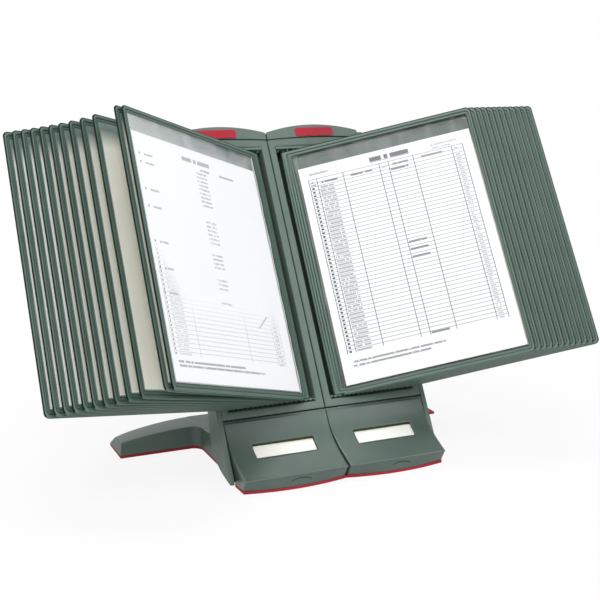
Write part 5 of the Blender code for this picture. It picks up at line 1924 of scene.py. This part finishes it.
        points = np.stack([np.broadcast_to(x, y.shape) - lean, y, z], axis=-1)
        keep = np.ones((points.shape[0] - 1, points.shape[1] - 1), bool)
        keep[row_low:row_high, column_low:column_high] = False
        # Painted highlight: the cover's colour is lightened in a narrow band along the lip.
        painted_highlight = np.exp(-((from_lip / self.wear_width) ** 2))
        stack = MeshStack()
        stack.grid(points, keep=keep, flat=np.stack([painted_highlight, np.zeros_like(painted_highlight)], axis=-1))
        foot = p.depth_point(self.back_setback, p.sole_top)
        top = p.base_point(self.back_setback, self.axis_climb)
        for column, low_side in ((0, True), (-1, False)):
            edge = points[:, column]
            side_rate = -seam_rate if low_side else rate
            rear = []
            for back_y, back_z in (foot, top):
                shift = side_rate * max(top_y - back_y, 0)
                rear.append(((low if low_side else high) - shift, back_y, back_z))
            stack.cap(np.concatenate([edge, rear]))
        return stack

    def barrel_stack(self) -> MeshStack:
        """Hinge barrel in three lengths between the base's ears."""
        p = self.places
        y, z = p.base_point(self.barrel, self.axis_climb)
        room = self.hinge_clearance
        ears = (self.ear_inset, p.module_width - self.ear_inset - self.ear_width)
        spans = (
            (p.seam, ears[0] - room),
            (ears[0] + self.ear_width + room, ears[1] - room),
            (ears[1] + self.ear_width + room, p.module_width - p.seam),
        )
        turn = np.linspace(0, math.tau, 28, endpoint=False)
        stack = MeshStack()
        for low, high in spans:
            stack.tube(np.stack([
                np.insert(circle(self.barrel - inset, turn) + (y, z), 0, x, axis=1)
                for inset, x in round_ends(low, high, self.barrel_edge, 2)
            ]))
        return stack

    def tray_stack(self) -> MeshStack:
        """Tray behind the label window: walls round the opening and a floor for the card."""
        top, bottom = self.face_points(self.window_marks())
        length = float(np.linalg.norm(bottom - top))
        along = (bottom - top) / length
        inward = np.array([-along[1], along[0]])

        def ring(grow: float, depth: float, radius: float) -> Array:
            """Rounded rectangle round the window at a depth below the face."""
            half = self.label_width / 2 + grow
            outline = rounded_box((-half, half, -grow, length + grow), radius, 3, 2)
            place = top + along * outline[:, 1:] + inward * depth
            return np.insert(place, 0, self.label_centre + outline[:, 0], axis=1)

        far = self.label_recess + self.label_floor
        near = self.skin * self.tray_from_share
        grow, wide, tight = self.label_margin, self.tray_corner, self.window_corner
        return MeshStack().tube(np.stack([
            ring(grow, far, wide),
            ring(grow, near, wide),
            ring(0.0, near, tight),
            ring(0.0, self.label_recess, tight),
        ]))

    def lining_stack(self) -> MeshStack:
        """Dark lining of the window's walls, from just below the face to the card: painted shade
        of the recess, wider at the top edge, where it reads as a painted shadow line over the
        card.
        """
        centre = self.label_centre
        half = self.label_width / 2
        rows = self.face_points(np.linspace(*self.window_marks(), 13))
        along = unit(np.gradient(rows, axis=0))
        inward = np.stack([-along[:, 1], along[:, 0]], axis=1)
        inward = inward * np.sign(inward[:, :1])

        def wall(shrink: float, depth: float) -> Array:
            """Loop of points round the window at a depth below the curved face."""
            place = rows + inward * depth
            trim = along[[0, -1]] * np.array([[shrink / self.lining * self.lining_top], [-shrink]])
            place[[0, -1]] += trim
            right = np.insert(place, 0, centre + half - shrink, axis=1)
            left = np.insert(place[::-1], 0, centre - half + shrink, axis=1)
            return np.concatenate([right, left])

        floor = self.label_recess - self.lining_sunk
        rings = [
            wall(0.0, self.lining_sunk),
            wall(self.lining, self.lining_sunk),
            wall(self.lining, floor),
            wall(0.0, floor),
        ]
        return MeshStack().grid(np.stack(rings), wrap_rows=True, wrap_columns=True)

    def build(self, palette: Palette) -> None:
        """Build the skin, the hinge barrel and the label tray."""
        word = self.side.word
        body = f"{word}_front_cover"
        carry = self.places.from_base(self.side)
        behind = (self.places.module_width / 2, self.behind, self.behind)
        shell = self.shell_stack().build(
            f"{word}_cover_shell", carry, palette.cover, inside=behind, sharp=self.sharp_deg
        )
        give_wall(shell, self.skin)
        fit_piece(shell, body, [body])
        for stack, name, finish in (
            (self.barrel_stack(), "cover_barrel", palette.cover),
            (self.tray_stack(), "label_tray", palette.cover),
            # Painted shade on the label window's walls.
            (self.lining_stack(), "window_lining", palette.window_lining),
        ):
            fit_piece(stack.build(f"{word}_{name}", carry, finish), body)


@dataclass(frozen=True)
class FootAndSole:
    """Long side foot, crowned and falling towards its raked tip, on a red rubber sole."""

    places: StandPlaces
    side: Side
    reach: float
    toe: float
    front_rake: float
    front_y: float = 0.0925
    fillet: float = 0.012
    root_front: float = 0.0277
    root_rear: float = 0.024
    tip_front: float = 0.0189
    tip_rear: float = 0.0102
    rear_rake: float = 0.007
    front_ease: float = 2.2
    rear_ease: float = 1.7
    rake_ease: float = 6.0
    crown: float = 0.0008
    edge: float = 0.0016
    foot_rim: float = 0.0005
    sole_thickness: float = 0.0032
    sole_rim: float = 0.0003
    sole_front_y: float = -0.068
    sole_front_reach: float = 0.1236
    sole_seam: tuple[float, float] = (0.1244, -0.0435)
    sole_shoulder_y: float = -0.0400
    nose_bow: float = 0.008

    def foot_stack(self) -> MeshStack:
        """Sections across the foot, carried out from the base; both upper edges are round."""
        p = self.places
        root = p.base_width + p.seam
        turn = np.linspace(0, math.pi / 2, 14)
        flare = root + self.fillet * (1 - np.cos(turn))
        end = self.reach - self.toe
        straight = np.linspace(root + self.fillet, end, 40)[1:]
        x = np.concatenate([flare, straight])[:, None]
        t = (x - root) / (end - root)
        run = np.clip(x - root, 0, self.fillet)
        y0 = self.front_y - self.fillet + np.sqrt(self.fillet**2 - (self.fillet - run) ** 2)
        y1 = np.full_like(x, p.base_rear)
        front = self.root_front - (self.root_front - self.tip_front) * t**self.front_ease
        rear = self.root_rear - (self.root_rear - self.tip_rear) * t**self.rear_ease
        quarter = np.linspace(0, math.pi / 2, 6)[None]
        s = np.linspace(0, 1, 12)[None, 1:-1]
        edge = self.edge
        inner0, inner1 = y0 + edge, y1 - edge
        crown_y = inner0 + (inner1 - inner0) * s
        crown_z = front + (rear - front) * (crown_y - y0) / (y1 - y0) + self.crown * parabola(s)
        y = np.concatenate([
            y0, y0 + edge * (1 - np.cos(quarter)), crown_y, y1 - edge * (1 - np.sin(quarter)), y1
        ], axis=1)
        z = np.concatenate([
            np.full_like(x, p.sole_top),
            front - edge * (1 - np.sin(quarter)),
            crown_z,
            rear - edge * (1 - np.cos(quarter)),
            np.full_like(x, p.sole_top),
        ], axis=1)
        share = 1 - (y - y0) / (y1 - y0)
        rake = self.rear_rake + (self.front_rake - self.rear_rake) * share
        top = rear + (front - rear) * share
        height = (z - p.sole_top) / (top - p.sole_top)
        x = x - rake * t**self.rake_ease * np.clip(height, 0, 1)
        return MeshStack().tube(np.stack([x, y, z], axis=-1))

    def sole_outline(self) -> Array:
        """Outline of the sole: bowed front, shoulder beside the base, and the foot's print."""
        p = self.places
        x = np.linspace(p.seam / 2, self.sole_front_reach, 48)
        bow = np.stack(
            [x, self.sole_front_y - self.nose_bow * parabola(x / p.module_width)], axis=1
        )
        turn = np.linspace(math.pi, math.pi / 2, 16)
        centre = np.array([p.base_width + self.fillet, self.front_y - self.fillet])
        arc = centre + circle(self.fillet, turn)
        shoulder = [self.sole_seam, (p.base_width, self.sole_shoulder_y)]
        rest = [(self.reach, self.front_y), (self.reach, p.base_rear), (p.seam / 2, p.base_rear)]
        return np.concatenate([bow, shoulder, arc, rest])

    def build(self, palette: Palette) -> None:
        """Build the foot and the sole."""
        word = self.side.word
        carry = self.places.from_base(self.side)
        foot = self.foot_stack().build(f"{word}_foot_bar", carry, palette.body)
        round_rims(foot, self.foot_rim)
        fit_piece(foot, "stand", [f"{word}_side_foot"])
        ends = [(0.0, 0.0), (0.0, self.sole_thickness)]
        stack = MeshStack().pile(self.sole_outline(), ends, Axis.UP)
        sole = stack.build(f"{word}_rubber_sole", carry, palette.rubber)
        round_rims(sole, self.sole_rim)
        fit_piece(sole, "stand", [f"{word}_sole"])


def dress_nodes(palette: Palette) -> None:
    """Give the frame's own solids that stay in view their finish."""
    finishes = {
        "lower_comb": palette.comb,
        "upper_comb": palette.comb,
        "base": palette.body,
        "cover_hinge_rod": palette.steel,
        "label_card": palette.card,
        "join_plate": palette.steel,
    }
    for obj in list(bpy.data.objects):
        node = obj.get("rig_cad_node")
        if not node or obj.hide_render:
            continue
        for ending, material in finishes.items():
            if node.endswith(ending):
                obj.data.materials.clear()
                obj.data.materials.append(material)
                LOG.info("%s keeps its solid in %s", node, material.name)


@dataclass(frozen=True)
class Studio:
    """Camera, pale floor and soft light."""

    places: StandPlaces
    camera_place: Point = (-0.52350, -1.14430, 0.46990)
    turn_deg: float = 23.44
    dip_deg: float = 12.47
    focal_px: float = 1125.0
    frame_px: float = 600.0
    sensor: float = 36.0
    floor_half: float = 6.0
    floor_shades: tuple[float, float] = (0.80, 0.84)
    floor_grain_per_metre: float = 12.0
    floor_roughness: float = 0.9
    shadow_from: float = 0.25
    shadow_to: float = 0.55
    shadow_white_share: float = 0.88
    world_level: float = 0.36
    world_colour: Colour = (0.97, 0.985, 1.0)
    aim: Point = (0.0, 0.0, 0.2)
    lamps: tuple[tuple[str, Point, float, float], ...] = (
        ("key", (-0.9, -1.3, 2.1), 1.1, 27.5),
        ("front", (-0.7, -1.9, 0.9), 0.9, 4.0),
        ("side", (1.6, -1.4, 1.4), 1.2, 13.0),
        ("top", (0.0, 0.3, 2.2), 1.0, 17.0),
    )

    def camera(self) -> None:
        """Put the camera where the photograph was taken from."""
        data = bpy.data.cameras.new("camera")
        data.sensor_width = self.sensor
        data.sensor_height = self.sensor
        data.sensor_fit = "HORIZONTAL"
        data.lens = self.focal_px / self.frame_px * self.sensor
        data.clip_start = 0.01
        data.clip_end = 50
        camera = bpy.data.objects.new("camera", data)
        bpy.context.scene.collection.objects.link(camera)
        x, y, z = self.camera_place
        camera.location = (x - self.places.middle_x, y - self.places.middle_y, z)
        camera.rotation_euler = (
            math.radians(90 - self.dip_deg), 0.0, -math.radians(self.turn_deg)
        )
        bpy.context.scene.camera = camera

    def background(self, tree: bpy.types.NodeTree) -> Socket:
        """One for the rays that see the background as white."""
        path = tree.nodes.new("ShaderNodeLightPath")
        seen = path.outputs["Is Camera Ray"]
        for name in ("Is Glossy Ray", "Is Transmission Ray"):
            node = tree.nodes.new("ShaderNodeMath")
            node.operation = "MAXIMUM"
            tree.links.new(seen, node.inputs[0])
            tree.links.new(path.outputs[name], node.inputs[1])
            seen = node.outputs["Value"]
        return seen

    def world(self) -> None:
        """Even pale sky that the camera sees as white."""
        world = bpy.data.worlds.new("studio")
        bpy.context.scene.world = world
        world.use_nodes = True
        tree = world.node_tree
        tree.nodes.clear()
        output = tree.nodes.new("ShaderNodeOutputWorld")
        mix = tree.nodes.new("ShaderNodeMixShader")
        tree.links.new(self.background(tree), mix.inputs["Fac"])
        skies = ((self.world_colour, self.world_level), ((1.0, 1.0, 1.0), 1.0))
        for slot, (colour, level) in enumerate(skies, 1):
            sky = tree.nodes.new("ShaderNodeBackground")
            sky.inputs["Color"].default_value = (*colour, 1.0)
            sky.inputs["Strength"].default_value = level
            tree.links.new(sky.outputs[0], mix.inputs[slot])
        tree.links.new(mix.outputs[0], output.inputs["Surface"])

    def floor(self) -> None:
        """Pale floor that keeps the object's shadow but never looks grey."""
        half = self.floor_half
        line = np.linspace(-half, half, 3)
        x, y = np.meshgrid(line, line)
        stack = MeshStack().grid(np.stack([x, y, np.zeros_like(x)], axis=-1))
        sketch = NodeSketch("pale_floor")
        sketch.feed("Roughness", self.floor_roughness)
        sketch.feed("Specular IOR Level", 0.0)
        grain = sketch.grain(self.floor_grain_per_metre)
        sketch.feed("Base Color", sketch.tinted(grain, (1.0, 1.0, 1.0), *self.floor_shades))
        glow = sketch.node("ShaderNodeEmission", Strength=1.0)
        mix = sketch.node("ShaderNodeMixShader")
        away = sketch.node("ShaderNodeVectorMath", operation="LENGTH")
        sketch.link(sketch.object_point(), away.inputs[0])
        near = sketch.span(
            away.outputs["Value"], self.shadow_from, self.shadow_to, self.shadow_white_share, 1.0
        )
        share = sketch.product(self.background(sketch.tree), near)
        sketch.link(share, mix.inputs["Fac"])
        sketch.link(sketch.shader.outputs["BSDF"], mix.inputs[1])
        sketch.link(glow.outputs["Emission"], mix.inputs[2])
        output = next(n for n in sketch.tree.nodes if n.type == "OUTPUT_MATERIAL")
        sketch.link(mix.outputs["Shader"], output.inputs["Surface"])
        floor = stack.build("pale_floor", lambda points: points, sketch.material)

    def lamp(self, name: str, place: Point, size: float, power: float) -> None:
        """Add a square soft box that faces the stand."""
        data = bpy.data.lights.new(name, "AREA")
        data.shape = "SQUARE"
        data.size = size
        data.energy = power
        lamp = bpy.data.objects.new(name, data)
        bpy.context.scene.collection.objects.link(lamp)
        lamp.location = place
        way = Vector(self.aim) - Vector(place)
        lamp.rotation_euler = way.to_track_quat("-Z", "Y").to_euler()

    def build(self) -> None:
        """Set up the whole studio."""
        self.camera()
        self.world()
        self.floor()
        for lamp in self.lamps:
            self.lamp(*lamp)
        bpy.context.scene.view_settings.view_transform = "Standard"


def stand_places() -> StandPlaces:
    """Find the centre line and the row's depth from solids whose places are known."""
    low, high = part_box("lower_join_plate")
    _, base_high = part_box("right_base")
    return StandPlaces(
        middle_x=-(low.x + high.x) / 2, middle_y=StandPlaces.base_rear - base_high.y
    )


def closing_fan(first: float, last: float, count: int) -> tuple[float, ...]:
    """Leans of a fan that closes up: an even share of 0.6 and a share that fades as t^4."""
    t = 1 - np.arange(count) / (count - 1)
    return tuple(last + (first - last) * (0.6 * t + 0.4 * t**4))


def main() -> None:
    """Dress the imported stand."""
    logging.basicConfig(level=logging.INFO, format="%(message)s")
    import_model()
    places = stand_places()
    palette = Palette()
    panel = DisplayPanel(places)
    leans = {Side.RIGHT: (27.5,) * 12, Side.LEFT: (34.0, 34.0, *closing_fan(28.6, 19.1, 10))}
    feet = {
        Side.RIGHT: FootAndSole(places, Side.RIGHT, reach=0.207, toe=0.0065, front_rake=0.010),
        Side.LEFT: FootAndSole(places, Side.LEFT, reach=0.218, toe=0.0, front_rake=0.0015),
    }
    for side in Side:
        PanelFan(places, panel, side, leans[side]).build(palette)
        Rack(places, side).build(palette)
        EndPanel(places, side).build(palette)
        FrontCover(places, side).build(palette)
        feet[side].build(palette)
    dress_nodes(palette)
    Studio(places).build()


if __name__ == "__main__":
    main()
